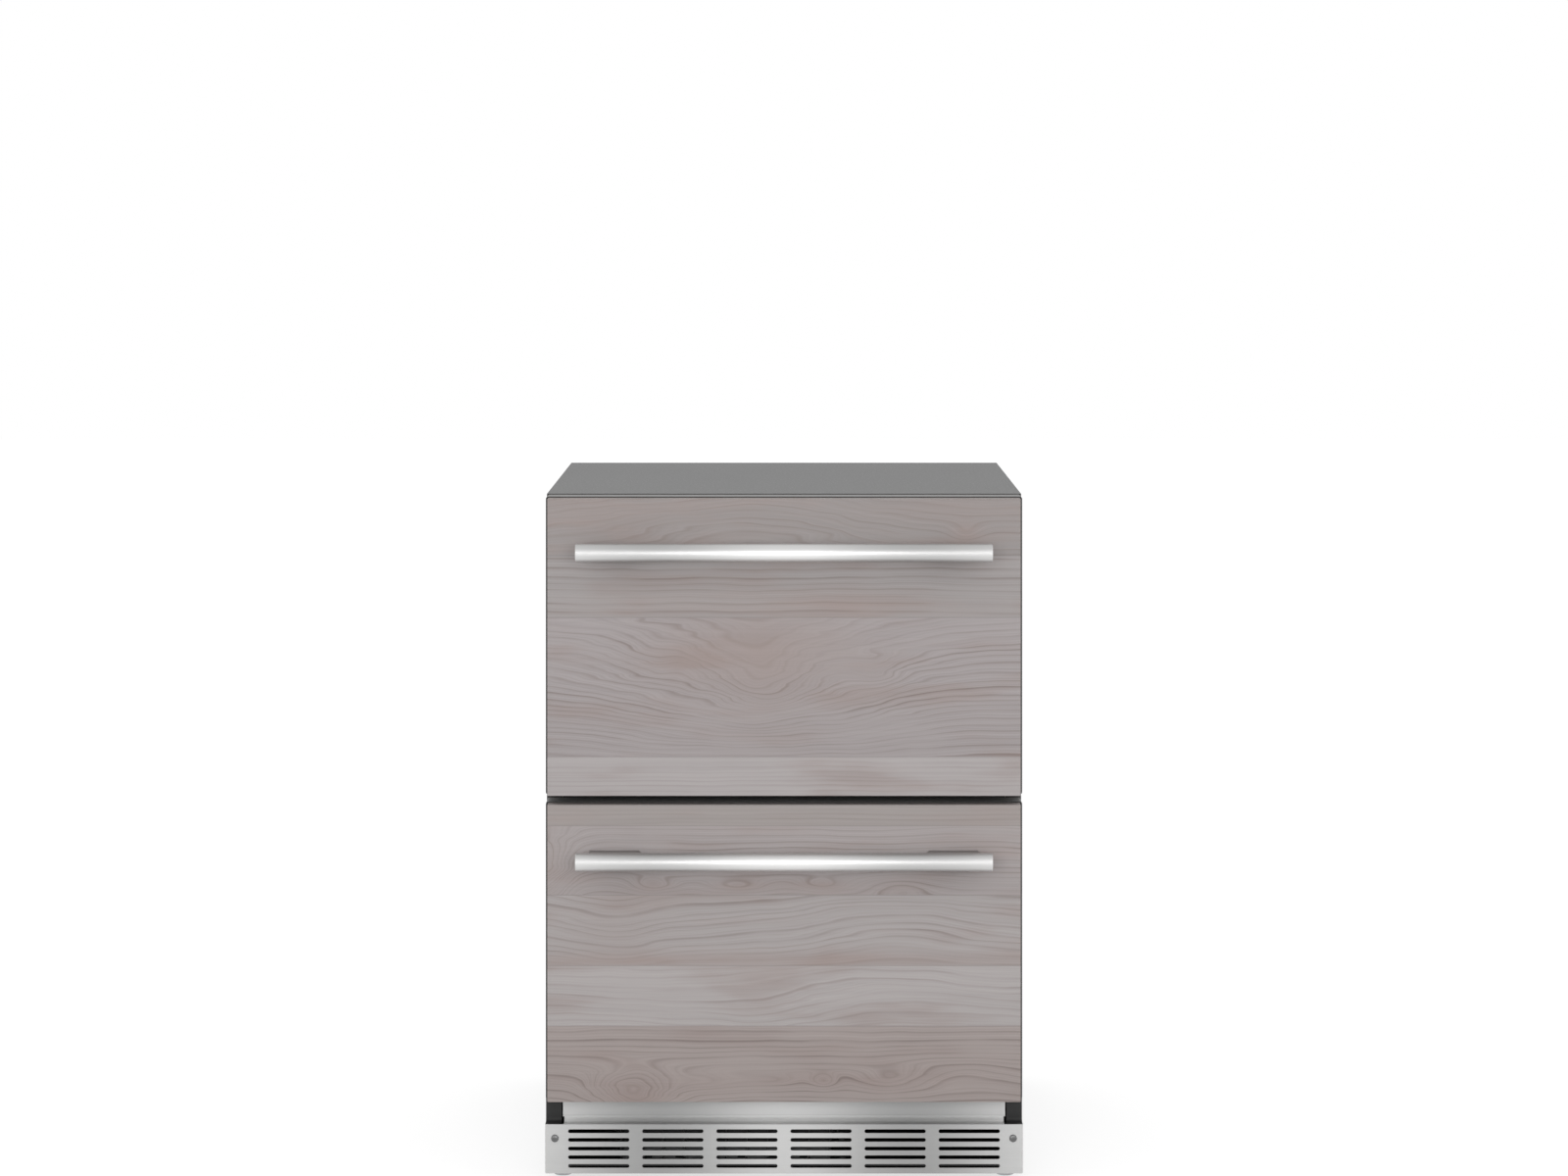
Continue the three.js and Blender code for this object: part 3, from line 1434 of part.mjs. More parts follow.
/** A drafted bin with rounded corners, a rim that lies on the runners and vents in its ends. */
function bin(length, floor, rimLow) {
  const front = binFrontGap + binRimWidth;
  const back = binFrontGap + length - binRimWidth;
  const top = rimLow + binRimThickness;
  const shellRings = (inset, low, high) =>
    [
      [binDraft + binFootRun, low],
      [binDraft + binFootRun * 0.22, low + binFootRise * 0.36],
      [binDraft, low + binFootRise],
      [0, high],
    ].map(([draw, z]) => {
      const drawn = inset + draw;
      const radius = binCornerRadius - inset;
      return ringAt(drawn - binHalfWidth, binHalfWidth - drawn, front + drawn, back - drawn, radius, z);
    });
  const rim = rectangle(
    -binHalfWidth - binRimWidth,
    binHalfWidth + binRimWidth,
    binFrontGap,
    binFrontGap + length,
    binCornerRadius + binRimWidth,
  );
  const outer = join(loft(shellRings(0, floor, top)), prismZ(rim, rimLow, top));
  let tub = cut(outer, loft(shellRings(binWall, floor + binWall, top + past)));
  const ventZ = rimLow - binVentDrop;
  for (let i = 0; i < binVentCount; i += 1) {
    const x = (i - (binVentCount - 1) / 2) * binVentPitch;
    const vent = slot(x, ventZ, binVentLength, binVentHeight);
    tub = cut(tub, prismY(vent, back - binCornerRadius, binFrontGap + length));
  }
  return tub;
}

/** One whole drawer: front, handle, gasket, runners and bin. */
function drawer(name, edge, slideDrop, binLength, opening, hem) {
  const group = new THREE.Group();
  group.position.z = edge;
  const [openingLow, openingHigh] = opening.map((z) => z - edge);
  const slideZ = doorHeight - slideDrop;
  const binFloor = openingLow + binFloorClearance;
  addPiece(group, `${name}_door_shell`, doorShell(), darkDoor);
  addPiece(group, `${name}_inner_door`, innerDoor(openingLow, openingHigh), whitePlastic);
  addPiece(group, `${name}_gasket`, gasket(hem.low, hem.high), rubber);
  addPiece(group, `${name}_front_panel`, frontPanel(), washedWood);
  addPiece(group, `${name}_handle_bar`, handleBar(), brushedSteel);
  addPiece(group, `${name}_bin`, bin(binLength, binFloor, slideZ + runnerHalf + clearance), greyPlastic);
  for (const [word, side] of sides) {
    addPiece(group, `${name}_handle_post_${word}`, handlePost(side), brushedSteel);
    addPiece(group, `${name}_runner_${word}`, runner(side), zincSheet).position.z = slideZ;
  }
  return group;
}

/** The members of a drawer's slides that stay in the cabinet or move half as far as the drawer. */
function cabinetSlides(name, slideZ) {
  const group = new THREE.Group();
  group.position.z = slideZ;
  for (const [word, side] of sides) {
    addPiece(group, `${name}_slide_fixed_${word}`, fixedMember(side), zincSheet);
    addPiece(group, `${name}_slide_middle_${word}`, middleMember(side), zincSheet);
  }
  return group;
}

// ---------------------------------------------------------------------------------------------
// Assembly
// ---------------------------------------------------------------------------------------------

/** Shell, insulation, liner and toe space. */
function cabinet() {
  const group = new THREE.Group();
  for (const [word, side] of sides) {
    addPiece(group, `side_panel_${word}`, sidePanel(side), greySheet);
    addPiece(group, `corner_block_${word}`, cornerBlock(side), blackSheet);
    const screw = addPiece(group, `grille_screw_${word}`, panHeadScrew(), brushedSteel);
    screw.rotation.x = Math.PI / 2;
    screw.position.set(side * screwX, -grilleReach - clearance, screwZ);
  }
  addPiece(group, 'top_panel', topPanel(), greySheet);
  addPiece(group, 'back_panel', backPanel(), greySheet);
  addPiece(group, 'base_pan', basePan(), zincSheet);
  addPiece(group, 'foam_insulation', insulationFoam(), foam);
  addPiece(group, 'inner_liner', innerLiner(), whitePlastic);
  addPiece(group, 'breaker_frame', breakerFrame(), blackPlastic);
  addPiece(group, 'kick_rail', kickRail(), brushedSteel);
  addPiece(group, 'toe_grille', toeGrille(), brushedSteel);
  addPiece(group, 'machine_cover', machineCover(), greySheet);
  addPiece(group, 'control_housing', controlHousing(), greyPlastic);
  addPiece(group, 'light_lens', lightLens(), clearPlastic);
  for (const [word, x, y] of footPlaces()) {
    addPiece(group, `levelling_foot_${word}`, levellingFoot(), zincSheet).position.set(x, y, 0);
  }
  return group;
}

/** Evaporator and its fan behind the upper drawer. */
function coldSide() {
  const group = new THREE.Group();
  addPiece(group, 'evaporator_cover', evaporatorCover(), whitePlastic);
  const height = evaporatorCoilHigh - evaporatorCoilLow;
  const coil = finnedCoil(evaporatorCoilWidth, evaporatorCoilDepth, height, evaporatorFinCount);
  const coilPiece = addPiece(group, 'evaporator_coil', coil, aluminium);
  const coilY = cavityBack - linerInset - clearance - evaporatorCoilDepth / 2;
  coilPiece.position.set(0, coilY, evaporatorCoilLow);
  const seat = evaporatorCoverFace + evaporatorCoverSheet + clearance;
  const motor = fanMotor(
    ...evaporatorMotor,
    evaporatorArmReach,
    fanLeg[0],
    evaporatorShaftEnd,
    evaporatorShaftRadius,
  );
  const motorPiece = addPiece(group, 'evaporator_fan_motor', motor, blackPlastic);
  motorPiece.rotation.x = Math.PI / 2;
  motorPiece.position.set(0, seat, evaporatorFanZ);
  const bore = evaporatorShaftRadius + clearance;
  const tip = evaporatorFanRadius - evaporatorFanTipGap;
  const fan = axialFan(tip, evaporatorBladeCount, evaporatorFanDepth, bore);
  const fanPiece = addPiece(group, 'evaporator_fan', fan, whitePlastic);
  fanPiece.rotation.x = Math.PI / 2;
  fanPiece.position.set(0, seat + fanLeg[0] / 2, evaporatorFanZ);
  return group;
}

/** Compressor, condenser, its fan and the parts round them, all on the base pan. */
function machineRoom() {
  const group = new THREE.Group();
  const floor = panTop + clearance;
  const pump = addPiece(group, 'compressor', compressor(), blackEnamel);
  pump.position.set(compressorX, compressorY, floor);
  const panZ = floor + compressorHeight + clearance;
  const tray = addPiece(group, 'drain_pan', drainPan(), blackPlastic);
  tray.position.set(compressorX, compressorY, panZ);
  const coil = finnedCoil(condenserWidth, condenserDepth, condenserHeight, condenserFinCount);
  const coilPiece = addPiece(group, 'condenser_coil', coil, blackEnamel);
  coilPiece.position.set(condenserCentre, condenserSetback + condenserDepth / 2, floor);
  const lineEnd = condenserCentre + condenserWidth / 2 - finSheet / 2;
  const line = refrigerantLine(floor + refrigerantLineRise, lineEnd);
  addPiece(group, 'refrigerant_line', line, copper);
  const shroud = addPiece(group, 'condenser_fan_shroud', fanShroud(), blackPlastic);
  shroud.position.set(condenserCentre, shroudFront, condenserFanZ);
  const seat = shroudFront + shroudDepth + clearance;
  const armReach = condenserFanRadius + fanArmReach[1];
  const motor = fanMotor(...condenserMotor, armReach, 0, condenserShaftEnd, condenserShaftRadius);
  const motorPiece = addPiece(group, 'condenser_fan_motor', motor, blackEnamel);
  motorPiece.rotation.x = Math.PI / 2;
  motorPiece.position.set(condenserCentre, seat, condenserFanZ);
  const bore = condenserShaftRadius + clearance;
  const fan = axialFan(condenserFanRadius, condenserBladeCount, condenserFanDepth, bore);
  const fanPiece = addPiece(group, 'condenser_fan', fan, blackPlastic);
  fanPiece.rotation.x = Math.PI / 2;
  fanPiece.position.set(condenserCentre, seat - shroudDepth / 2, condenserFanZ);
  return group;
}

const refrigerator = new THREE.Group();
const body = new THREE.Group();
body.position.y = cabinetFront;
body.add(cabinet(), coldSide(), machineRoom());
body.add(cabinetSlides('lower', lowestDoorEdge + doorHeight - lowerSlideDrop));
body.add(cabinetSlides('upper', upperDoorEdge + doorHeight - drawerSlideDrop));
const lowerHem = { low: gasketInset, high: gasketHemInset };
const upperHem = { low: gasketHemInset, high: gasketInset };
const lowerOpening = [cavityFloor, mullionLow];
const upperOpening = [mullionHigh, cavityCeiling];
const upperBinLength = slideBack - upperBinRearGap - binFrontGap;
const lowerBinLength = cavityStepWall - linerInset - lowerBinRearGap - binFrontGap;
body.add(drawer('lower', lowestDoorEdge, lowerSlideDrop, lowerBinLength, lowerOpening, lowerHem));
body.add(drawer('upper', upperDoorEdge, drawerSlideDrop, upperBinLength, upperOpening, upperHem));
refrigerator.add(body);

export default refrigerator;
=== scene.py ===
"""Looks of an undercounter refrigerator with two wood-fronted drawers, round its CAD frame."""

from __future__ import annotations

import logging
import math
from dataclasses import dataclass
from enum import Enum
from typing import Callable, ClassVar, Iterable, Sequence

import bmesh
import bpy
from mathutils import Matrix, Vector


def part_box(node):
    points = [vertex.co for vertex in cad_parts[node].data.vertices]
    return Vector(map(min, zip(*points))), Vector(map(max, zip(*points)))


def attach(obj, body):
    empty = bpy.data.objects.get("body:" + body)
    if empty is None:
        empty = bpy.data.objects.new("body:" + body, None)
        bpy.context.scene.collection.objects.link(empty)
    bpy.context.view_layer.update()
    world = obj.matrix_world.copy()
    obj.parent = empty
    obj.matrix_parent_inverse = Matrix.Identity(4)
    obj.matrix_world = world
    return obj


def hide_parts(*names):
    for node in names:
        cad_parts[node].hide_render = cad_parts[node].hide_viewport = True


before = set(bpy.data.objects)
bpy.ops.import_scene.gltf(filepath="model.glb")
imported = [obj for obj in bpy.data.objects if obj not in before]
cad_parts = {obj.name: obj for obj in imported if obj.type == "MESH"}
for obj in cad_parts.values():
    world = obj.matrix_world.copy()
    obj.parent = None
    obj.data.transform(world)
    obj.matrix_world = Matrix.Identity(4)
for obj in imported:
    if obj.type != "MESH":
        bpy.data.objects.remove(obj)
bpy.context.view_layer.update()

LOG = logging.getLogger("refrigerator")
MM = 0.001
SIDES = (("left", -1.0), ("right", 1.0))
DRAWERS = ("lower", "upper")

Point2 = tuple[float, float]
Colour = tuple[float, float, float]


class Plane(Enum):
    """The plane that an outline is drawn in; it is extruded along the third axis."""

    XY = "z"
    XZ = "y"
    YZ = "x"


# Shader graphs


def math_method(operation: str, meaning: str, swapped: bool = False) -> Callable[..., Wire]:
    """Makes a method of Wire that adds one Math node.

    Args:
        operation: the Math node's operation.
        meaning: the method's docstring.
        swapped: whether the wire goes into the second socket.

    Returns:
        The method.
    """

    def method(wire: Wire, *others: Wire | float) -> Wire:
        """Adds the node."""
        values = (*others, wire) if swapped else (wire, *others)
        return wire.graph.node("Math", {"operation": operation}, dict(enumerate(values)))

    method.__doc__ = meaning
    return method


@dataclass(frozen=True)
class Wire:
    """A number on its way through a shader graph; arithmetic on it adds Math nodes."""

    graph: Graph
    socket: bpy.types.NodeSocket

    __add__ = math_method("ADD", "Sum.")
    __radd__ = math_method("ADD", "Sum with a number on the left.", swapped=True)
    __sub__ = math_method("SUBTRACT", "Difference.")
    __rsub__ = math_method("SUBTRACT", "Difference from a number on the left.", swapped=True)
    __mul__ = math_method("MULTIPLY", "Product.")
    __truediv__ = math_method("DIVIDE", "Quotient.")
    larger = math_method("MAXIMUM", "The larger of two numbers.")
    fraction = math_method("FRACT", "What is left above the whole number below.")
    whole = math_method("FLOOR", "The whole number below.")
    exponential = math_method("EXPONENT", "The number e to this power.")
    cosine = math_method("COSINE", "Cosine of an angle in radians.")
    size = math_method("ABSOLUTE", "Absolute value.")

    def clamped(self) -> Wire:
        """Held between 0 and 1."""
        settings = {"operation": "ADD", "use_clamp": True}
        return self.graph.node("Math", settings, {0: self, 1: 0.0})

    def eased(self, low: float, high: float) -> Wire:
        """0 below low, 1 above high, and a soft step between."""
        settings = {"interpolation_type": "SMOOTHSTEP"}
        return self.graph.node("MapRange", settings, {0: self, 1: low, 2: high})


class Graph:
    """The node graph of one material or world."""

    def __init__(self, owner: bpy.types.Material | bpy.types.World) -> None:
        """Takes over the owner's node tree.

        Args:
            owner: the material, with its Principled shader, or the world.
        """
        owner.use_nodes = True
        self.tree = owner.node_tree

    def node(
        self,
        kind: str,
        settings: dict[str, object] | None = None,
        inputs: dict[int | str, object] | None = None,
        output: int | str = 0,
    ) -> Wire:
        """Adds any node: its settings first, then its sockets.

        Args:
            kind: the node's type, without the ShaderNode that all of them begin with.
            settings: attributes of the node.
            inputs: a value or a wire for each socket, by index or name.
            output: the output that is returned.

        Returns:
            The chosen output.
        """
        made = self.tree.nodes.new(f"ShaderNode{kind}")
        for key, value in (settings or {}).items():
            setattr(made, key, value)
        for key, value in (inputs or {}).items():
            self.connect(made.inputs[key], value)
        return Wire(self, made.outputs[output])

    def connect(self, socket: bpy.types.NodeSocket, value: object) -> None:
        """Links a wire to a socket, or sets the socket's value.

        Args:
            socket: the input.
            value: a wire, or what the input is set to.
        """
        if isinstance(value, Wire):
            self.tree.links.new(value.socket, socket)
        else:
            socket.default_value = value

    def feed(self, **sockets: object) -> None:
        """Sets or links inputs of the Principled shader, named with _ for a space.

        Args:
            sockets: a value or a wire for each input.
        """
        for key, value in sockets.items():
            name = key.replace("_", " ").title().replace("Ior", "IOR")
            self.connect(self.tree.nodes["Principled BSDF"].inputs[name], value)

    def place(self) -> Wire:
        """The point on the piece, in metres."""
        return self.node("TexCoord", output="Object")

    def parts(self, vector: Wire) -> tuple[Wire, Wire, Wire]:
        """Splits a vector into its three numbers."""
        split = self.node("SeparateXYZ", inputs={0: vector}).socket.node
        return tuple(Wire(self, split.outputs[i]) for i in range(3))

    def stretched(self, vector: Wire, scale: Sequence[float]) -> Wire:
        """A vector scaled along each axis."""
        settings = {"operation": "MULTIPLY"}
        return self.node("VectorMath", settings, {0: vector, 1: tuple(scale)})

    def noise(
        self, vector: Wire, scale: float, detail: float = 2.0, roughness: float = 0.5
    ) -> Wire:
        """Smooth noise between about 0 and 1."""
        inputs = {"Vector": vector, "Scale": scale, "Detail": detail, "Roughness": roughness}
        return self.node("TexNoise", {}, inputs)

    def field(self, u: Wire, v: Wire | float, w: Wire | float, detail: float) -> Wire:
        """Smooth noise at a point given by three numbers."""
        point = self.node("CombineXYZ", {}, {0: u, 1: v, 2: w})
        return self.noise(point, 1.0, detail)

    def luck(self, number: Wire) -> Wire:
        """A random value between 0 and 1 for each whole number."""
        return self.node("TexWhiteNoise", {"noise_dimensions": "1D"}, {"W": number})

    def blend(self, factor: Wire | float, low: Wire | Colour, high: Wire | Colour) -> Wire:
        """A mix of two colours.

        Args:
            factor: how much of the second colour there is.
            low: the first colour.
            high: the second colour.

        Returns:
            The mix.
        """
        ends = [end if isinstance(end, Wire) else (*end, 1.0) for end in (low, high)]
        inputs = {0: factor, 6: ends[0], 7: ends[1]}
        return self.node("Mix", {"data_type": "RGBA"}, inputs, output=2)

    def shade(self, colour: Wire | Colour, factor: Wire) -> Wire:
        """A colour multiplied by a grey number."""
        settings = {"operation": "SCALE"}
        return self.node("VectorMath", settings, {0: colour, "Scale": factor})

    def bump(self, height: Wire, distance: float, strength: float = 1.0) -> Wire:
        """A normal from a height."""
        inputs = {"Height": height, "Distance": distance, "Strength": strength}
        return self.node("Bump", {}, inputs)


# Finishes


@dataclass(frozen=True)
class Finish:
    """A finish that makes its material once and hands out the same one after that."""

    made: ClassVar[dict[str, bpy.types.Material]] = {}
    name: str

    def material(self) -> bpy.types.Material:
        """The finish's material."""
        if self.name not in self.made:
            self.made[self.name] = bpy.data.materials.new(f"{self.name}_look")
            self._build(Graph(self.made[self.name]))
        return self.made[self.name]

    def _build(self, graph: Graph) -> None:
        """Builds the node graph; each finish has its own.

        Args:
            graph: the material's graph.
        """
        raise NotImplementedError


@dataclass(frozen=True)
class SpeckledPaint(Finish):
    """Textured sheet paint: a plain colour with fine light and dark grains.

    Upper is the colour of faces that look up, where it differs.
    """

    colour: Colour = (0.25, 0.25, 0.25)
    speckle: float = 0.12
    roughness: float = 0.5
    gloss: float = 0.5
    upper: Colour | None = None
    grain_scale: float = 330.0
    cloud_scale: float = 5.0
    bright_grains: Point2 = (0.60, 0.72)
    painted_top_light_range: Point2 = (0.7, 0.9)

    def _build(self, graph: Graph) -> None:
        """Grains in colour, roughness and a low orange-peel bump.

        Args:
            graph: the material's graph.
        """
        place = graph.place()
        grains = graph.noise(place, self.grain_scale, 4.0, 0.8)
        cloud = graph.noise(place, self.cloud_scale)
        specks = grains.eased(*self.bright_grains)
        tone = 1.0 + (grains - 0.5) * self.speckle + (cloud - 0.5) * 0.05 + specks * self.speckle
        # Painted light: faces that look up take the upper colour.
        _, _, facing = graph.parts(graph.node("NewGeometry", output="Normal"))
        base = graph.blend(facing.eased(*self.painted_top_light_range), self.colour, self.upper or self.colour)
        graph.feed(
            base_color=graph.shade(base, tone),
            specular_ior_level=self.gloss,
            roughness=(grains * 0.15 + self.roughness - 0.07),
            normal=graph.bump(grains, 0.0002, 0.4),
        )


@dataclass(frozen=True)
class BrushedSteel(Finish):
    """Stainless steel with a fine brush along one axis and slow bright and dull bands across it.

    The bands follow x, bright in the middle; band_pitch is the distance in metres from a bright
    one to the next dull one. Each shade is a height in metres and how bright the metal is there,
    from the lowest up.
    """

    colour: Colour = (0.58, 0.575, 0.57)
    roughness: float = 0.3
    brush: tuple[float, float, float] = (6.0, 900.0, 900.0)
    contrast: float = 0.10
    painted_reflection_bands: float = 0.0
    painted_reflection_pitch: float = 0.165
    metal: float = 1.0
    painted_light_by_height: tuple[tuple[float, float], ...] = ()

    def _build(self, graph: Graph) -> None:
        """Streaks in colour, roughness and bump, and the bands in colour.

        Args:
            graph: the material's graph.
        """
        place = graph.place()
        streaks = graph.noise(graph.stretched(place, self.brush), 1.0, 3.0, 0.65)
        smudge = graph.noise(place, 14.0)
        tone = 1.0 + (streaks - 0.5) * (2.0 * self.contrast) + (smudge - 0.5) * 0.05
        x, _, z = graph.parts(place)
        # Painted reflection: bright and dull stripes along x.
        if self.painted_reflection_bands:
            tone = tone + (x * (math.pi / self.painted_reflection_pitch)).cosine() * self.painted_reflection_bands
        # Painted light and shade: the metal's brightness steps with height.
        if self.painted_light_by_height:
            level: Wire | float = self.painted_light_by_height[0][1]
            for (low, dull), (high, bright) in zip(self.painted_light_by_height, self.painted_light_by_height[1:]):
                level = z.eased(low, high) * (bright - dull) + level
            tone = tone * level
        graph.feed(
            base_color=graph.shade(self.colour, tone),
            metallic=self.metal,
            roughness=streaks * 0.16 + smudge * 0.06 + self.roughness - 0.11,
            normal=graph.bump(streaks, 0.00005, 0.5),
        )


@dataclass(frozen=True)
class Moulding(Finish):
    """Moulded plastic, rubber or enamel: one colour with a faint grain and slight unevenness."""

    colour: Colour = (0.5, 0.5, 0.5)
    roughness: float = 0.5
    grain: float = 1400.0
    grain_depth: float = 0.00003
    coat: float = 0.0

    def _build(self, graph: Graph) -> None:
        """Fine pebble grain with cloudy colour and roughness.

        Args:
            graph: the material's graph.
        """
        place = graph.place()
        grain = graph.noise(place, self.grain)
        cloud = graph.noise(place, 9.0, 3.0)
        tone = 1.0 + (cloud - 0.5) * 0.12 + (grain - 0.5) * 0.06
        graph.feed(
            base_color=graph.shade(self.colour, tone),
            roughness=(cloud * 0.12 + self.roughness - 0.06),
            coat_weight=self.coat,
            normal=graph.bump(grain, self.grain_depth, 0.5),
        )


@dataclass(frozen=True)
class BareMetal(Finish):
    """Zinc, aluminium or copper as it leaves the mill: metallic, cloudy and a little dull."""

    colour: Colour = (0.5, 0.5, 0.5)
    roughness: float = 0.4
    spangle: float = 60.0

    def _build(self, graph: Graph) -> None:
        """Cloudy patches like zinc spangle over a fine grain.

        Args:
            graph: the material's graph.
        """
        place = graph.place()
        inputs = {"Vector": place, "Scale": self.spangle}
        cells = graph.node("TexVoronoi", {}, inputs, output="Color")
        patch, _, _ = graph.parts(cells)
        fine = graph.noise(place, 700.0)
        tone = 1.0 + (patch - 0.5) * 0.14 + (fine - 0.5) * 0.08
        graph.feed(
            base_color=graph.shade(self.colour, tone),
            metallic=0.9,
            roughness=(patch * 0.1 + fine * 0.1 + self.roughness - 0.1),
            normal=graph.bump(fine, 0.00003, 0.5),
        )


@dataclass(frozen=True)
class RawFoam(Finish):
    """Poured insulation foam with open pores."""

    colour: Colour = (0.7, 0.58, 0.3)

    def _build(self, graph: Graph) -> None:
        """Pores from cells, with a mottled colour.

        Args:
            graph: the material's graph.
        """
        place = graph.place()
        pores = graph.node("TexVoronoi", {}, {"Vector": place, "Scale": 500.0})
        mottle = graph.noise(place, 20.0, 4.0)
        graph.feed(
            base_color=graph.shade(self.colour, 0.85 + mottle * 0.3),
            roughness=0.95,
            normal=graph.bump(pores, 0.0004, 0.8),
        )


@dataclass(frozen=True)
class Swell:
    """A place where the growth rings of a board bend; lengths are millimetres.

    A lift above 0 pulls them down into a bowl and one below 0 up into an arch. Where the lift is
    more than the height, they close into the rings of a knot. Warm adds the figure's brown.
    """

    place: Point2
    size: Point2
    lift: float
    warm: float = 0.0


@dataclass(frozen=True)
class Board:
    """One board of a panel: where it starts, how its rings lie and its tone; millimetres."""

    low: float
    pitch: float
    strength: float
    swirl: float
    tone: Colour
    swells: tuple[Swell, ...] = ()


@dataclass(frozen=True)
class WashedWood(Finish):
    """Greyed, washed wood: level boards with arched or bowl-shaped figure, knots and fine grain."""

    boards: tuple[Board, ...] = ()
    warm_tone: Colour = (0.272, 0.220, 0.206)
    jaggedness: float = 0.6
    line_depth: float = 0.21
    between_depth: float = 0.05
    streak_depth: float = 0.22
    straight_depth: float = 0.12
    fibre_depth: float = 0.10
    seam_depth: float = 0.16

    def _build(self, graph: Graph) -> None:
        """Boards, ring lines, streaks along them, fibres, warm patches and seams.

        Args:
            graph: the material's graph.
        """
        x, y, z = graph.parts(graph.stretched(graph.place(), (1.0 / MM,) * 3))
        steps = [(z - board.low).eased(-0.4, 0.4) for board in self.boards[1:]]
        seed = self._pick(steps, [index * 7.3 for index in range(len(self.boards))])
        wave = graph.field(x * 0.006, seed, z * 0.012, 2.0) - 0.5
        jag = graph.field(x * 0.010, seed + 20.0, z * 0.055, 1.5) - 0.5
        bend, figure = self._figure(x, z, jag, wave, steps)
        ring = z + wave * self._of(steps, "swirl") + bend

        phase = ring / self._of(steps, "pitch") + graph.field(ring * 0.03, seed, 0.0, 1.0) * 3.0
        luck = graph.luck(phase.whole() + seed)
        late = phase.fraction()
        line = late.eased(0.45, 0.90) * (1.0 - late.eased(0.90, 1.0)) * (luck * 0.75 + 0.25)
        third = (phase * 3.0 + 0.37).fraction()
        between = third.eased(0.4, 0.9) * (1.0 - third.eased(0.9, 1.0))
        fade = graph.field(x * 0.008, seed + 3.0, z * 0.03, 2.0).eased(0.32, 0.60) * 0.7 + 0.3
        fade = fade * (1.0 - (figure * 0.8).clamped())
        mark = line * self.line_depth + between * self.between_depth
        mark = mark * fade * self._of(steps, "strength")
        streak = graph.field(x * 0.004, seed, ring * 0.30, 3.0)
        straight = graph.field(x * 0.003, seed + 5.0, z * 0.42 + wave * 6.0, 3.0)
        fibre = graph.field(x * 0.02, y * 0.02, z * 1.5 + wave * 12.0, 3.0)
        seam = self._seams(z)
        tone = 1.04 + (streak - 0.5) * self.streak_depth + (straight - 0.5) * self.straight_depth
        tone = tone + (fibre - 0.5) * self.fibre_depth - mark - seam * self.seam_depth

        patch = graph.field(x * 0.006, seed + 9.0, z * 0.03, 2.0).eased(0.46, 0.72)
        warmth = (figure + patch * 0.5 + mark * 2.2).clamped()
        colour = graph.blend(warmth, self._tones(graph, steps), self.warm_tone)
        graph.feed(
            base_color=graph.shade(colour, tone),
            roughness=fibre * 0.14 + 0.5,
            normal=graph.bump(fibre * 0.5 - line * 0.3 - seam, 0.0001, 0.3),
        )

    def _of(self, steps: Sequence[Wire], name: str) -> Wire:
        """The value that a board field has at this height."""
        return self._pick(steps, [getattr(board, name) for board in self.boards])

    @staticmethod
    def _pick(steps: Sequence[Wire], values: Sequence[Wire | float]) -> Wire:
        """A number that steps from board to board.

        Args:
            steps: for each board after the first, 1 on it and above.
            values: one value for each board, from the lowest up.

        Returns:
            The value of the board at that height.
        """
        total: Wire | float = values[0]
        for step, value, below in zip(steps, values[1:], values[:-1]):
            total = step * (value - below) + total
        return total

    def _figure(
        self, x: Wire, z: Wire, jag: Wire, wave: Wire, steps: Sequence[Wire]
    ) -> tuple[Wire, Wire]:
        """How far the rings are bent at a point, and how brown the figure is there.

        Args:
            x: the point's place along the board, in millimetres.
            z: its height.
            jag: fast unevenness, which gives the flanks their zigzag.
            wave: slow unevenness.
            steps: for each board after the first, 1 on it and above.

        Returns:
            The bend in millimetres, and the brown.
        """
        bends: list[Wire | float] = []
        browns: list[Wire | float] = []
        for board in self.boards:
            bend: Wire | float = 0.0
            brown: Wire | float = 0.0
            for swell in board.swells:
                off = (x - swell.place[0]) / swell.size[0] + jag * self.jaggedness
                rise = (z - swell.place[1]) / swell.size[1] + wave * 0.5
                bump = (off * off * -1.0 - rise * rise).exponential()
                bend = bump * swell.lift + bend
                brown = bump * swell.warm + brown
            bends.append(bend)
            browns.append(brown)
        return self._pick(steps, bends), self._pick(steps, browns)

    def _tones(self, graph: Graph, steps: Sequence[Wire]) -> Wire | Colour:
        """The base colour of the board at this height.

        Args:
            graph: the wood's graph.
            steps: for each board after the first, 1 on it and above.

        Returns:
            The colour.
        """
        colour: Wire | Colour = self.boards[0].tone
        for step, board in zip(steps, self.boards[1:]):
            colour = graph.blend(step, colour, board.tone)
        return colour

    def _seams(self, height: Wire) -> Wire:
        """1 on the thin joint lines between boards.

        Args:
            height: the point's height in millimetres.

        Returns:
            The number, 0 away from the lines.
        """
        marks = [1.0 - (height - board.low).size().eased(0.2, 0.9) for board in self.boards[1:]]
        total = marks[0]
        for mark in marks[1:]:
            total = total + mark
        return total


# Palette: every finish of the object, made once

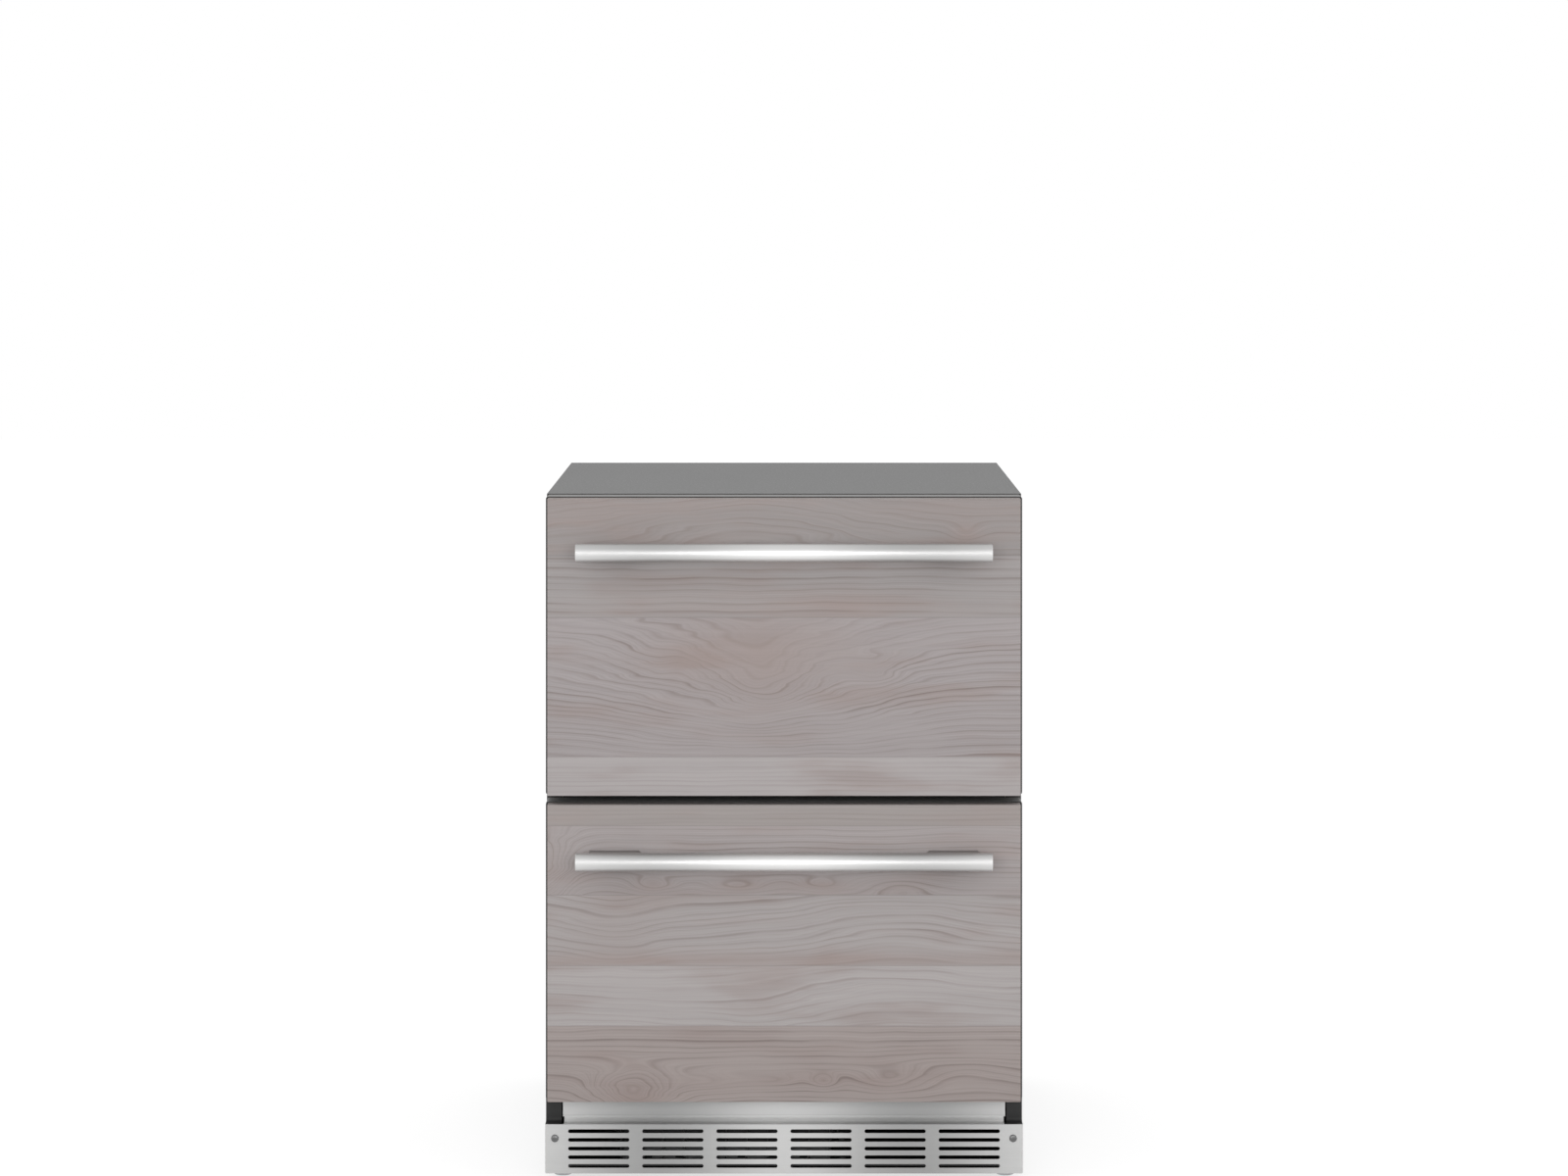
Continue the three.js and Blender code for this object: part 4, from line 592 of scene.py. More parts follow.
UPPER_WOOD = WashedWood(
    "washed_wood_upper",
    (
        Board(500.2, 6.0, 0.45, 8.0, (0.363, 0.336, 0.334)),
        Board(549.3, 9.0, 1.35, 16.0, (0.305, 0.277, 0.277), (
            Swell((-32.0, 655.0), (170.0, 92.0), 62.0, 0.1),
            Swell((-32.0, 628.0), (48.0, 55.0), 24.0, 0.15),
            Swell((-30.0, 682.0), (120.0, 46.0), 0.0, 0.7),
            Swell((120.0, 655.0), (26.0, 24.0), 13.0, 0.1),
            Swell((-128.0, 665.0), (24.0, 22.0), -13.0, 0.1),
        )),
        Board(725.0, 9.0, 1.1, 14.0, (0.288, 0.266, 0.262), (
            Swell((0.0, 735.0), (240.0, 12.0), 0.0, 0.45),
        )),
        Board(803.0, 9.0, 1.1, 14.0, (0.250, 0.229, 0.224), (
            Swell((-45.0, 846.0), (165.0, 52.0), -40.0, 0.1),
            Swell((229.0, 832.0), (22.0, 13.0), 16.0, 0.7),
            Swell((-235.0, 858.0), (110.0, 26.0), -8.0, 0.45),
            Swell((210.0, 862.0), (120.0, 20.0), 8.0, 0.4),
        )),
    ),
)
LOWER_WOOD = WashedWood(
    "washed_wood_lower",
    (
        Board(114.1, 8.0, 1.5, 14.0, (0.309, 0.268, 0.256), (
            Swell((-190.0, 124.0), (46.0, 28.0), 78.0, 0.7),
            Swell((-104.0, 138.0), (52.0, 13.0), 21.0, 0.35),
            Swell((-15.0, 138.0), (52.0, 11.0), 16.0, 0.3),
            Swell((50.0, 139.0), (17.0, 10.0), 18.0, 0.3),
            Swell((141.0, 142.0), (46.0, 16.0), 26.0, 0.45),
            Swell((215.0, 150.0), (90.0, 22.0), -16.0, 0.2),
        )),
        Board(210.0, 9.0, 0.7, 22.0, (0.353, 0.327, 0.323), (
            Swell((-70.0, 232.0), (150.0, 40.0), 16.0),
            Swell((150.0, 262.0), (150.0, 40.0), -16.0),
        )),
        Board(286.0, 9.0, 1.0, 18.0, (0.321, 0.296, 0.292), (
            Swell((150.0, 345.0), (120.0, 45.0), -26.0),
            Swell((-215.0, 335.0), (62.0, 60.0), 18.0, 0.25),
            Swell((0.0, 293.0), (900.0, 11.0), 0.0, 0.55),
        )),
        Board(375.0, 8.0, 1.1, 16.0, (0.301, 0.272, 0.269), (
            Swell((-165.0, 387.0), (30.0, 10.0), 18.0, 0.5),
            Swell((-60.0, 386.0), (40.0, 9.0), 15.0, 0.4),
            Swell((50.0, 388.0), (34.0, 9.0), 15.0, 0.4),
            Swell((150.0, 386.0), (44.0, 15.0), -18.0, 0.4),
            Swell((-306.0, 408.0), (34.0, 44.0), 78.0, 0.4),
        )),
        Board(462.5, 6.0, 0.5, 8.0, (0.269, 0.242, 0.232)),
    ),
)
GREY_PAINT = SpeckledPaint("painted_grey_sheet", (0.205, 0.205, 0.205), 0.9, 0.6, 0.15)
# Door pans: near black, with their tops painted lighter as painted light.
DOOR_SHEET_PAINTED_LIGHT = SpeckledPaint(
    "dark_door_sheet", (0.022, 0.020, 0.019), 0.10, 0.5, 0.3, (0.23, 0.226, 0.224)
)
# The grille, rail and bar steels carry a painted reflection across x: bright in the middle, duller
# further out.
GRILLE_STEEL = BrushedSteel(
    "grille_steel", (0.405, 0.405, 0.402), 0.36, (5.0, 1200.0, 1200.0), 0.07, 0.25, metal=0.8
)
RAIL_STEEL = BrushedSteel(
    "brushed_steel", (0.46, 0.46, 0.457), 0.46, (5.0, 1200.0, 1200.0), 0.07, 0.25, metal=0.4,
    # Painted light and shade: brightness of the rail's metal set by height over its bend.
    painted_light_by_height=(
        (0.0765, 1.4), (0.0784, 1.18), (0.0806, 1.6), (0.0824, 1.33),
        (0.0843, 0.82), (0.0862, 0.79), (0.0880, 0.98), (0.0950, 1.0),
    ),
)
# Painted reflection on the bar: bright at its middle, dull about 0.17 m out, brighter again at the
# ends.
BAR_STEEL = BrushedSteel(
    "handle_steel", (0.61, 0.607, 0.604), 0.45, (8.0, 1500.0, 1500.0), 0.04, 0.17, 0.172
)
# The posts' steel is darker than the bar's: painted shade on the posts.
SHADED_POST_STEEL = BrushedSteel("painted_shade_post_steel", (0.30, 0.285, 0.28), 0.5, (8.0, 1500.0, 1500.0), 0.04)
SCREW_STEEL = BrushedSteel("screw_steel", (0.16, 0.16, 0.16), 0.4, (400.0, 400.0, 400.0), 0.05)
SLIDE_STEEL = BareMetal("slide_steel", (0.46, 0.47, 0.48), 0.35, 90.0)
ZINC_SHEET = BareMetal("zinc_sheet", (0.46, 0.47, 0.48), 0.42, 55.0)
FIN_METAL = BareMetal("aluminium_fins", (0.55, 0.57, 0.58), 0.38, 200.0)
COPPER = BareMetal("copper_tube", (0.55, 0.24, 0.12), 0.32, 80.0)
BLACK_MOULDING = Moulding("black_moulding", (0.008, 0.008, 0.008), 0.65)
BLACK_TRIM = Moulding("black_trim", (0.020, 0.017, 0.016), 0.5)
BLACK_PLASTIC = Moulding("black_plastic", (0.020, 0.020, 0.021), 0.5)
BLACK_ENAMEL = Moulding("black_enamel", (0.012, 0.012, 0.013), 0.3, 300.0, 0.00005, 0.4)
WHITE_PLASTIC = Moulding("white_plastic", (0.74, 0.75, 0.73), 0.38)
GREY_PLASTIC = Moulding("grey_plastic", (0.27, 0.28, 0.30), 0.5)
BIN_PLASTIC = Moulding("bin_plastic", (0.42, 0.43, 0.44), 0.4, 900.0)
CLEAR_PLASTIC = Moulding("clear_plastic", (0.78, 0.83, 0.85), 0.2, 500.0, 0.00002, 0.3)
RUBBER = Moulding("gasket_rubber", (0.024, 0.024, 0.025), 0.7, 1800.0)
FOAM = RawFoam("foam")


# Meshes


def rounded(corners: Sequence[tuple[float, float, float]], steps: int = 8) -> list[Point2]:
    """Rounds the corners of a polygon with arcs.

    Args:
        corners: (u, v, radius) of each corner, anticlockwise or clockwise.
        steps: the number of steps in each arc.

    Returns:
        The outline's points.
    """
    points: list[Point2] = []
    for index, (u, v, radius) in enumerate(corners):
        here = Vector((u, v))
        before = Vector(corners[index - 1][:2]) - here
        after = Vector(corners[(index + 1) % len(corners)][:2]) - here
        if radius <= 0.0:
            points.append((u, v))
            continue
        turn = before.angle(after)
        reach = radius / math.tan(turn / 2.0)
        toward = (before.normalized() + after.normalized()).normalized()
        centre = here + toward * (radius / math.sin(turn / 2.0))
        start = here + before.normalized() * reach - centre
        sweep = (math.pi - turn) * (1.0 if before.cross(after) < 0.0 else -1.0)
        for step in range(steps + 1):
            angle = sweep * step / steps
            cos, sin = math.cos(angle), math.sin(angle)
            u_arc, v_arc = start.x * cos - start.y * sin, start.x * sin + start.y * cos
            points.append((centre.x + u_arc, centre.y + v_arc))
    return points


def rectangle(
    u0: float, u1: float, v0: float, v1: float, radius: float = 0.0, steps: int = 8
) -> list[Point2]:
    """The outline of a rectangle with round corners."""
    return rounded([(u, v, radius) for u, v in ((u0, v0), (u1, v0), (u1, v1), (u0, v1))], steps)


def circle(u: float, v: float, radius: float, steps: int = 48) -> list[Point2]:
    """The outline of a circle."""
    turns = [math.tau / steps * i for i in range(steps)]
    return [(u + radius * math.cos(turn), v + radius * math.sin(turn)) for turn in turns]


@dataclass(frozen=True)
class Box:
    """The box of a CAD node at rest, in millimetres."""

    low: Vector
    high: Vector

    @classmethod
    def of(cls, node: str) -> Box:
        """Reads a node's box from the frame."""
        low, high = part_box(node)
        return cls(low / MM, high / MM)

    @property
    def middle(self) -> Vector:
        """The middle of the box."""
        return (self.low + self.high) / 2.0

    @property
    def size(self) -> Vector:
        """The box's width, depth and height."""
        return self.high - self.low

    def outline(
        self, plane: Plane, inset: float = 0.0, radius: float = 0.0, steps: int = 8
    ) -> list[Point2]:
        """The box's outline in a plane, drawn in and with round corners.

        Args:
            plane: the plane, XY or XZ.
            inset: how far the outline is drawn in.
            radius: the radius of its corners.
            steps: the number of steps in each corner.

        Returns:
            The outline's points.
        """
        across = 1 if plane is Plane.XY else 2
        low, high = (self.low[0], self.low[across]), (self.high[0], self.high[across])
        return rectangle(
            low[0] + inset, high[0] - inset, low[1] + inset, high[1] - inset, radius, steps
        )


def placed(name: str, data: bpy.types.ID) -> bpy.types.Object:
    """Makes an object of some data and links it to the scene.

    Args:
        name: the object's name.
        data: its mesh, light or camera.

    Returns:
        The new object.
    """
    thing = bpy.data.objects.new(name, data)
    bpy.context.scene.collection.objects.link(thing)
    return thing


class Solid:
    """A mesh under construction, in millimetres and in the frame's axes."""

    def __init__(self) -> None:
        """Starts with no geometry."""
        self.mesh = bmesh.new()

    @staticmethod
    def _at(plane: Plane, u: float, v: float, w: float) -> Vector:
        """The point (u, v) of a plane, at height w along the plane's normal axis."""
        places = {Plane.XY: (u, v, w), Plane.XZ: (u, w, v), Plane.YZ: (w, u, v)}
        return Vector(places[plane])

    def plate(
        self,
        plane: Plane,
        outline: Sequence[Point2],
        low: float,
        high: float,
        holes: Iterable[Sequence[Point2]] = (),
    ) -> Solid:
        """Extrudes an outline, with holes through it.

        Args:
            plane: the plane of the outline.
            outline: the outer edge.
            low: where the extrusion starts.
            high: where it ends.
            holes: the edges of the holes.

        Returns:
            This solid, for another step.
        """
        edges = []
        for loop in (outline, *holes):
            ring = [self.mesh.verts.new(self._at(plane, u, v, low)) for u, v in loop]
            edges += [self.mesh.edges.new((ring[i - 1], ring[i])) for i in range(len(ring))]
        filled = bmesh.ops.triangle_fill(self.mesh, edges=edges, use_beauty=True)
        faces = [item for item in filled["geom"] if isinstance(item, bmesh.types.BMFace)]
        grown = bmesh.ops.extrude_face_region(self.mesh, geom=faces, use_keep_orig=True)
        moved = [item for item in grown["geom"] if isinstance(item, bmesh.types.BMVert)]
        bmesh.ops.translate(self.mesh, verts=moved, vec=self._at(plane, 0.0, 0.0, high - low))
        return self

    def rings(self, loops: Sequence[Sequence[Vector]], closed: bool = False) -> Solid:
        """Skins a row of rings that have the same number of points, and caps both ends.

        Args:
            loops: the rings, each a list of points.
            closed: whether the last ring joins the first, with no caps.

        Returns:
            This solid, for another step.
        """
        made = [[self.mesh.verts.new(point) for point in loop] for loop in loops]
        pairs = list(zip(made, made[1:])) + ([(made[-1], made[0])] if closed else [])
        for first, second in pairs:
            for i in range(len(first)):
                self.mesh.faces.new((first[i - 1], first[i], second[i], second[i - 1]))
        if not closed:
            self.mesh.faces.new(made[0])
            self.mesh.faces.new(list(reversed(made[-1])))
        return self

    def turned(
        self,
        profile: Sequence[Point2],
        origin: Sequence[float],
        axis: str = "Z",
        steps: int = 48,
    ) -> Solid:
        """Revolves a profile of (radius, height) points round an axis.

        Args:
            profile: the points, none with a radius of 0.
            origin: the point on the axis where the height is 0.
            axis: the axis, X, Y or Z.
            steps: the number of steps round.

        Returns:
            This solid, for another step.
        """
        loops = []
        for radius, height in profile:
            loop = []
            for u, v in circle(0.0, 0.0, max(radius, 0.01), steps):
                spot = {"Z": (u, v, height), "Y": (u, height, v), "X": (height, u, v)}[axis]
                loop.append(Vector(origin) + Vector(spot))
            loops.append(loop)
        return self.rings(loops)

    def bevelled(self, width: float, segments: int = 2, above: float = 40.0) -> Solid:
        """Bevels every edge that turns by more than an angle in degrees.

        Args:
            width: how far the bevel reaches from the edge.
            segments: the number of steps in it.
            above: the angle.

        Returns:
            This solid, for another step.
        """
        bmesh.ops.remove_doubles(self.mesh, verts=self.mesh.verts, dist=0.001)
        bmesh.ops.recalc_face_normals(self.mesh, faces=self.mesh.faces)
        limit = math.radians(above)
        sharp = [e for e in self.mesh.edges if e.is_manifold and e.calc_face_angle(0.0) > limit]
        shape = {"segments": segments, "profile": 0.5, "affect": "EDGES", "clamp_overlap": True}
        bmesh.ops.bevel(self.mesh, geom=sharp, offset=width, **shape)
        return self

    def cut(self, tool: Solid) -> Solid:
        """Takes another solid away with a Boolean modifier."""
        return self._boolean(tool, "DIFFERENCE")

    def join(self, other: Solid) -> Solid:
        """Joins another solid with a Boolean modifier."""
        return self._boolean(other, "UNION")

    def _boolean(self, other: Solid, operation: str) -> Solid:
        """Applies a Boolean modifier to temporary objects and takes the result over.

        Args:
            other: the solid that it works with.
            operation: the modifier's operation.

        Returns:
            This solid, for another step.
        """
        temporary = []
        for solid in (self, other):
            bmesh.ops.recalc_face_normals(solid.mesh, faces=solid.mesh.faces)
            data = bpy.data.meshes.new("tool")
            solid.mesh.to_mesh(data)
            temporary.append(placed("tool", data))
        target, tool = temporary
        modifier = target.modifiers.new("boolean", "BOOLEAN")
        modifier.operation = operation
        modifier.object = tool
        modifier.solver = "EXACT"
        evaluated = target.evaluated_get(bpy.context.evaluated_depsgraph_get())
        result = bpy.data.meshes.new_from_object(evaluated)
        self.mesh.clear()
        self.mesh.from_mesh(result)
        for thing in temporary:
            bpy.data.meshes.remove(thing.data)
        bpy.data.meshes.remove(result)
        return self

    def piece(
        self,
        name: str,
        body: str,
        finish: Finish,
        replaces: Sequence[str] = (),
        slot: str | None = None,
        smooth: float = 35.0,
    ) -> bpy.types.Object:
        """Makes the object, gives it its finish and hands it to the frame.

        Args:
            name: the piece's name.
            body: the CAD body that it moves with.
            finish: its finish.
            replaces: the CAD nodes that it stands for.
            slot: the material slot, where it isn't called what the finish is.
            smooth: edges that turn by more than this many degrees stay sharp.

        Returns:
            The new object.
        """
        bmesh.ops.remove_doubles(self.mesh, verts=self.mesh.verts, dist=0.001)
        bmesh.ops.recalc_face_normals(self.mesh, faces=self.mesh.faces)
        bmesh.ops.scale(self.mesh, vec=Vector((MM, MM, MM)), verts=self.mesh.verts)
        data = bpy.data.meshes.new(name)
        self.mesh.to_mesh(data)
        self.mesh.free()
        data.shade_smooth()
        data.set_sharp_from_angle(angle=math.radians(smooth))
        data.materials.append(finish.material())
        thing = placed(name, data)
        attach(thing, body)
        if replaces:
            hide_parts(*replaces)
        LOG.info("piece %s on %s: %d faces", name, body, len(data.polygons))
        return thing


def dress(finish: Finish, *nodes: str) -> None:
    """Gives CAD nodes that keep their shape a finish.

    Args:
        finish: the finish.
        nodes: the nodes' names.
    """
    for node in nodes:
        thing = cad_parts[node]
        if not thing.material_slots:
            thing.data.materials.append(finish.material())
        for slot in thing.material_slots:
            slot.material = finish.material()
        LOG.info("dressed %s in %s", node, finish.name)


def repaint(
    thing: bpy.types.Object, finish: Finish, chosen: Callable[[bpy.types.MeshPolygon], bool]
) -> None:
    """Gives some faces of an object a second finish.

    Args:
        thing: the object.
        finish: the second finish.
        chosen: tells whether a face gets it.
    """
    thing.data.materials.append(finish.material())
    for face in thing.data.polygons:
        if chosen(face):
            face.material_index = len(thing.data.materials) - 1


# Sub-assemblies


@dataclass
class DrawerPart:
    """What the front and the inside of one drawer share."""

    which: str

    def _box(self, part: str) -> Box:
        """The box of one of the drawer's CAD nodes."""
        return Box.of(f"{self.which}_{part}")

    def _piece(
        self, solid: Solid, name: str, finish: Finish, node: str, **extras: object
    ) -> None:
        """Hands a solid to the frame as a piece of this drawer.

        Args:
            solid: the solid.
            name: the piece's name, without the drawer's.
            finish: its finish.
            node: the CAD node that it stands for, without the drawer's name.
            extras: the slot or the smoothing, as Solid.piece takes them.
        """
        nodes = [f"{self.which}_{node}"]
        solid.piece(f"{self.which}_{name}", f"{self.which}_drawer", finish, nodes, **extras)


@dataclass
class DrawerFront(DrawerPart):
    """The wood panel, dark pan, inner door, gasket and bar handle of one drawer."""

    wood: WashedWood
    panel_corner: float = 0.8
    panel_edge: float = 1.0
    bar_edge: float = 0.8
    post_edge: float = 0.5
    post_inner_at_bar: float = 176.6
    post_inner_at_panel: float = 182.4
    seat_gap: float = 0.3
    gasket_width: float = 12.0
    gasket_corner: float = 9.0

    def build(self) -> None:
        """Builds the pieces of the front, in order."""
        self._panel()
        self._bar()
        for side, sign in SIDES:
            self._post(side, sign)
        self._gasket()
        dress(DOOR_SHEET_PAINTED_LIGHT, f"{self.which}_door_shell")
        dress(WHITE_PLASTIC, f"{self.which}_inner_door")

    def _panel(self) -> None:
        """The wood panel with small bevels round its face."""
        box = self._box("front_panel")
        edge = box.outline(Plane.XZ, 0.0, self.panel_corner, 3)
        solid = Solid().plate(Plane.XZ, edge, box.low.y, box.high.y).bevelled(self.panel_edge, 3)
        self._piece(solid, "wood_panel", self.wood, "front_panel", slot="washed_wood")

    def _bar(self) -> None:
        """The round bar, with broken edges at its ends."""
        box = self._box("handle_bar")
        radius, half, edge = box.size.z / 2.0, box.size.x / 2.0, self.bar_edge
        profile = [(0.0, -half), (radius - edge, -half), (radius - edge * 0.3, edge * 0.3 - half)]
        profile += [(radius, edge - half)]
        profile += [(r, -h) for r, h in reversed(profile)]
        solid = Solid().turned(profile, (0.0, box.middle.y, box.middle.z), "X", 96)
        self._piece(solid, "round_bar", BAR_STEEL, "handle_bar", smooth=30.0)

    def _post(self, side: str, sign: float) -> None:
        """A post that tapers in plan and is hollowed to the bar.

        Args:
            side: left or right.
            sign: -1 or 1, the side that it stands on.
        """
        bar, panel = self._box("handle_bar"), self._box("front_panel")
        post = self._box("handle_post_left")
        outer = -post.low.x
        seat = panel.low.y - self.seat_gap
        middle_y, middle_z = bar.middle.y, bar.middle.z
        plan = [
            (sign * outer, seat),
            (sign * self.post_inner_at_panel, seat),
            (sign * self.post_inner_at_bar, middle_y),
            (sign * outer, middle_y),
        ]
        solid = Solid().plate(Plane.XY, plan, post.low.z, post.high.z).bevelled(self.post_edge)
        bore = circle(middle_y, middle_z, bar.size.z / 2.0 + self.seat_gap, 96)
        solid.cut(Solid().plate(Plane.YZ, bore, -outer - 9.0, outer + 9.0))
        node = f"handle_post_{side}"
        self._piece(solid, f"post_{side}", SHADED_POST_STEEL, node, slot="handle_steel", smooth=30.0)

    def _gasket(self) -> None:
        """The bellows gasket, drawn in at its middle, round the back of the front."""
        box = self._box("gasket")
        depth = box.size.y
        section = [
            (0.0, 0.0), (0.0, 4.0), (2.6, 5.4), (2.6, 8.0),
            (0.8, depth - 3.2), (0.0, depth - 2.4), (0.0, depth - 0.8), (0.8, depth),
        ]
        section += [(self.gasket_width - draw, reach) for draw, reach in reversed(section)]
        loops = []
        for draw, reach in section:
            edge = box.outline(Plane.XZ, draw, max(self.gasket_corner - draw, 0.6), 6)
            loops.append([Vector((u, box.low.y + reach, v)) for u, v in edge])
        self._piece(Solid().rings(loops, closed=True), "bellows_gasket", RUBBER, "gasket")


@dataclass
class DrawerInside(DrawerPart):
    """The bin and the runners of one drawer, and the slide members that it rides on."""

    wall: float = 2.5
    rim_width: float = 12.0
    rim_depth: float = 3.0
    rim_edge: float = 0.8
    corner: float = 26.0
    draft: float = 8.0
    foot: float = 12.0
    vent: tuple[float, float, float] = (44.0, 6.0, 80.0)
    vents: int = 4
    vent_drop: float = 26.0

    def build(self) -> None:
        """Builds the bin and dresses the slides."""
        self._bin()
        for side, _ in SIDES:
            for part in ("runner", "slide_fixed", "slide_middle"):
                dress(SLIDE_STEEL, f"{self.which}_{part}_{side}")

    def _shell(self, box: Box, inset: float, low: float, high: float) -> Solid:
        """The drafted inside or outside of the bin, with a round foot.

        Args:
            box: the bin's box.
            inset: how far it lies inside the bin's outer face.
            low: the height of its floor.
            high: the height of its top.

        Returns:
            The solid.
        """
        steps = [
            (self.draft + self.foot * (1 - math.sin(a)), self.foot * (1 - math.cos(a)))
            for a in (math.pi / 2 * i / 5 for i in range(6))
        ]
        steps += [(0.0, high - low)]
        loops = []
        for draw, rise in steps:
            edge = box.outline(Plane.XY, self.rim_width + inset + draw, self.corner - inset, 10)
            loops.append([Vector((u, v, low + rise)) for u, v in edge])
        return Solid().rings(loops)

    def _bin(self) -> None:
        """The moulded bin: drafted walls, round corners, a rim with a lip and slots in its back."""
        box = self._box("bin")
        top = box.high.z
        rim_low = top - self.rim_depth
        rim = box.outline(Plane.XY, 0.0, self.corner + self.rim_width, 12)
        solid = Solid().plate(Plane.XY, rim, rim_low, top).bevelled(self.rim_edge)
        solid.join(self._shell(box, 0.0, box.low.z, rim_low + 1.0))
        solid.cut(self._shell(box, self.wall, box.low.z + self.wall, top + 2.0))
        length, height, pitch = self.vent
        low, inner = rim_low - self.vent_drop, box.high.y - self.rim_width - self.corner
        for index in range(self.vents):
            x = (index - (self.vents - 1) / 2.0) * pitch
            ends = (x - length / 2, x + length / 2)
            slot = rectangle(*ends, low, low + height, height / 2.0 - 0.05, 6)
            solid.cut(Solid().plate(Plane.XZ, slot, inner, box.high.y + 1.0))
        self._piece(solid, "food_bin", BIN_PLASTIC, "bin", smooth=28.0)


@dataclass
class ToeSpace:
    """The slotted toe grille with its two screws, the bright rail over it and the corner blocks."""

    columns: int = 6
    rows: int = 5
    slot_size: tuple[float, float] = (77.6, 4.6)
    pitch: tuple[float, float] = (94.0, 11.0)
    top_drop: float = 8.8
    sheet: float = 1.2
    fold: float = 14.0
    fold_inset: float = 22.0
    plate_corner: float = 1.5
    screw_spot: tuple[float, float] = (290.6, 61.2)
    screw_head: tuple[float, float] = (4.75, 2.2)
    recess_half: float = 0.55
    rail_sheet: float = 1.0
    rail_bend: float = 8.0
    rail_reach: float = 18.0
    rail_hem: float = 5.0
    relief_width: float = 1.9

    def build(self) -> None:
        """Builds the grille, screws and rail, and dresses the blocks."""
        self._grille()
        for side, sign in SIDES:
            self._screw(side, sign)
        self._rail()
        dress(BLACK_MOULDING, "corner_block_left", "corner_block_right")

    def _grille(self) -> None:
        """The plate with round-ended slots, and the stiffening fold along its lower edge."""
        box = Box.of("toe_grille")
        front, back = box.low.y, box.low.y + self.sheet
        width, height = self.slot_size
        holes = []
        for column in range(self.columns):
            x = (column - (self.columns - 1) / 2.0) * self.pitch[0]
            for row in range(self.rows):
                z = box.high.z - self.top_drop - row * self.pitch[1]
                ends = (x - width / 2, x + width / 2, z - height / 2, z + height / 2)
                holes.append(rectangle(*ends, height / 2 - 0.01))
        edge = box.outline(Plane.XZ, 0.0, self.plate_corner, 4)
        plate = Solid().plate(Plane.XZ, edge, front, back, holes)
        fold_x = box.high.x - self.fold_inset
        fold_edge = rectangle(-fold_x, fold_x, back - 0.5, back + self.fold)
        plate.plate(Plane.XY, fold_edge, box.low.z, box.low.z + self.sheet)
        grille = plate.bevelled(0.18, 1).piece(
            "slotted_grille", "cabinet", GRILLE_STEEL, ["toe_grille"], "brushed_steel", 30.0
        )
        # The back of the plate and its fold are painted black: painted shade behind the slots.
        behind = (back - 0.2) * MM
        repaint(grille, BLACK_ENAMEL, lambda face: face.center.y > behind)

    def _screw(self, side: str, sign: float) -> None:
        """A pan-head screw with a cross recess.

        Args:
            side: left or right.
            sign: -1 or 1, the side that it stands on.
        """
        box = Box.of(f"grille_screw_{side}")
        radius, height = self.screw_head
        seat = box.low.y + height
        length = box.high.y - seat
        x, z = sign * self.screw_spot[0], self.screw_spot[1]
        dome = [(radius, 0.0), (radius, 0.3 * height)]
        dome += [
            (radius * math.cos(a), height * (0.3 + 0.7 * math.sin(a)))
            for a in (math.radians(i) for i in (20, 40, 60, 78))
        ]
        profile = [(0.01, length), (1.2, length), (2.0, length - 2.0), (2.0, 0.0)]
        profile += [(r, -h) for r, h in dome] + [(0.01, -height)]
        head = Solid().turned(profile, (x, seat, z), "Y", 40)
        arm, half = radius * 0.62, self.recess_half
        for u, v in ((arm, half), (half, arm)):
            slot = rectangle(x - u, x + u, z - v, z + v)
            head.cut(Solid().plate(Plane.XZ, slot, box.low.y - 1.0, box.low.y + height * 0.6))
        nodes = [f"grille_screw_{side}"]
        head.piece(f"pan_head_screw_{side}", "cabinet", SCREW_STEEL, nodes, smooth=32.0)

    def _rail(self) -> None:
        """The bright rail: top fold, face, sweep into a ledge, and hem behind the grille."""
        box = Box.of("kick_rail")
        back, top = box.high.y, box.high.z
        face = back + 0.3 - self.rail_reach
        ledge = box.low.z + self.rail_hem
        front, sheet, bend = box.low.y, self.rail_sheet, self.rail_bend
        fold = rounded([
            (back, top - sheet, 0.0),
            (back, top, 0.0),
            (face, top, 1.5),
            (face, ledge, bend),
            (front, ledge, 0.4),
            (front, box.low.z, 0.0),
            (front + sheet, box.low.z, 0.0),
            (front + sheet, ledge - sheet, 0.0),
            (face + sheet, ledge - sheet, bend + sheet),
            (face + sheet, top - sheet, 0.0),
        ], 12)
        solid = Solid().plate(Plane.YZ, fold, box.low.x, box.high.x)
        relief = rectangle(front - 1.0, face + 2.0, ledge - 3.0, ledge + 6.0)
        wide = self.relief_width
        for low, high in (
            (box.low.x - 1.0, box.low.x + wide),
            (box.high.x - wide, box.high.x + 1.0),
        ):
            solid.cut(Solid().plate(Plane.YZ, relief, low, high))
        solid.piece("bright_kick_rail", "cabinet", RAIL_STEEL, ["kick_rail"], smooth=25.0)


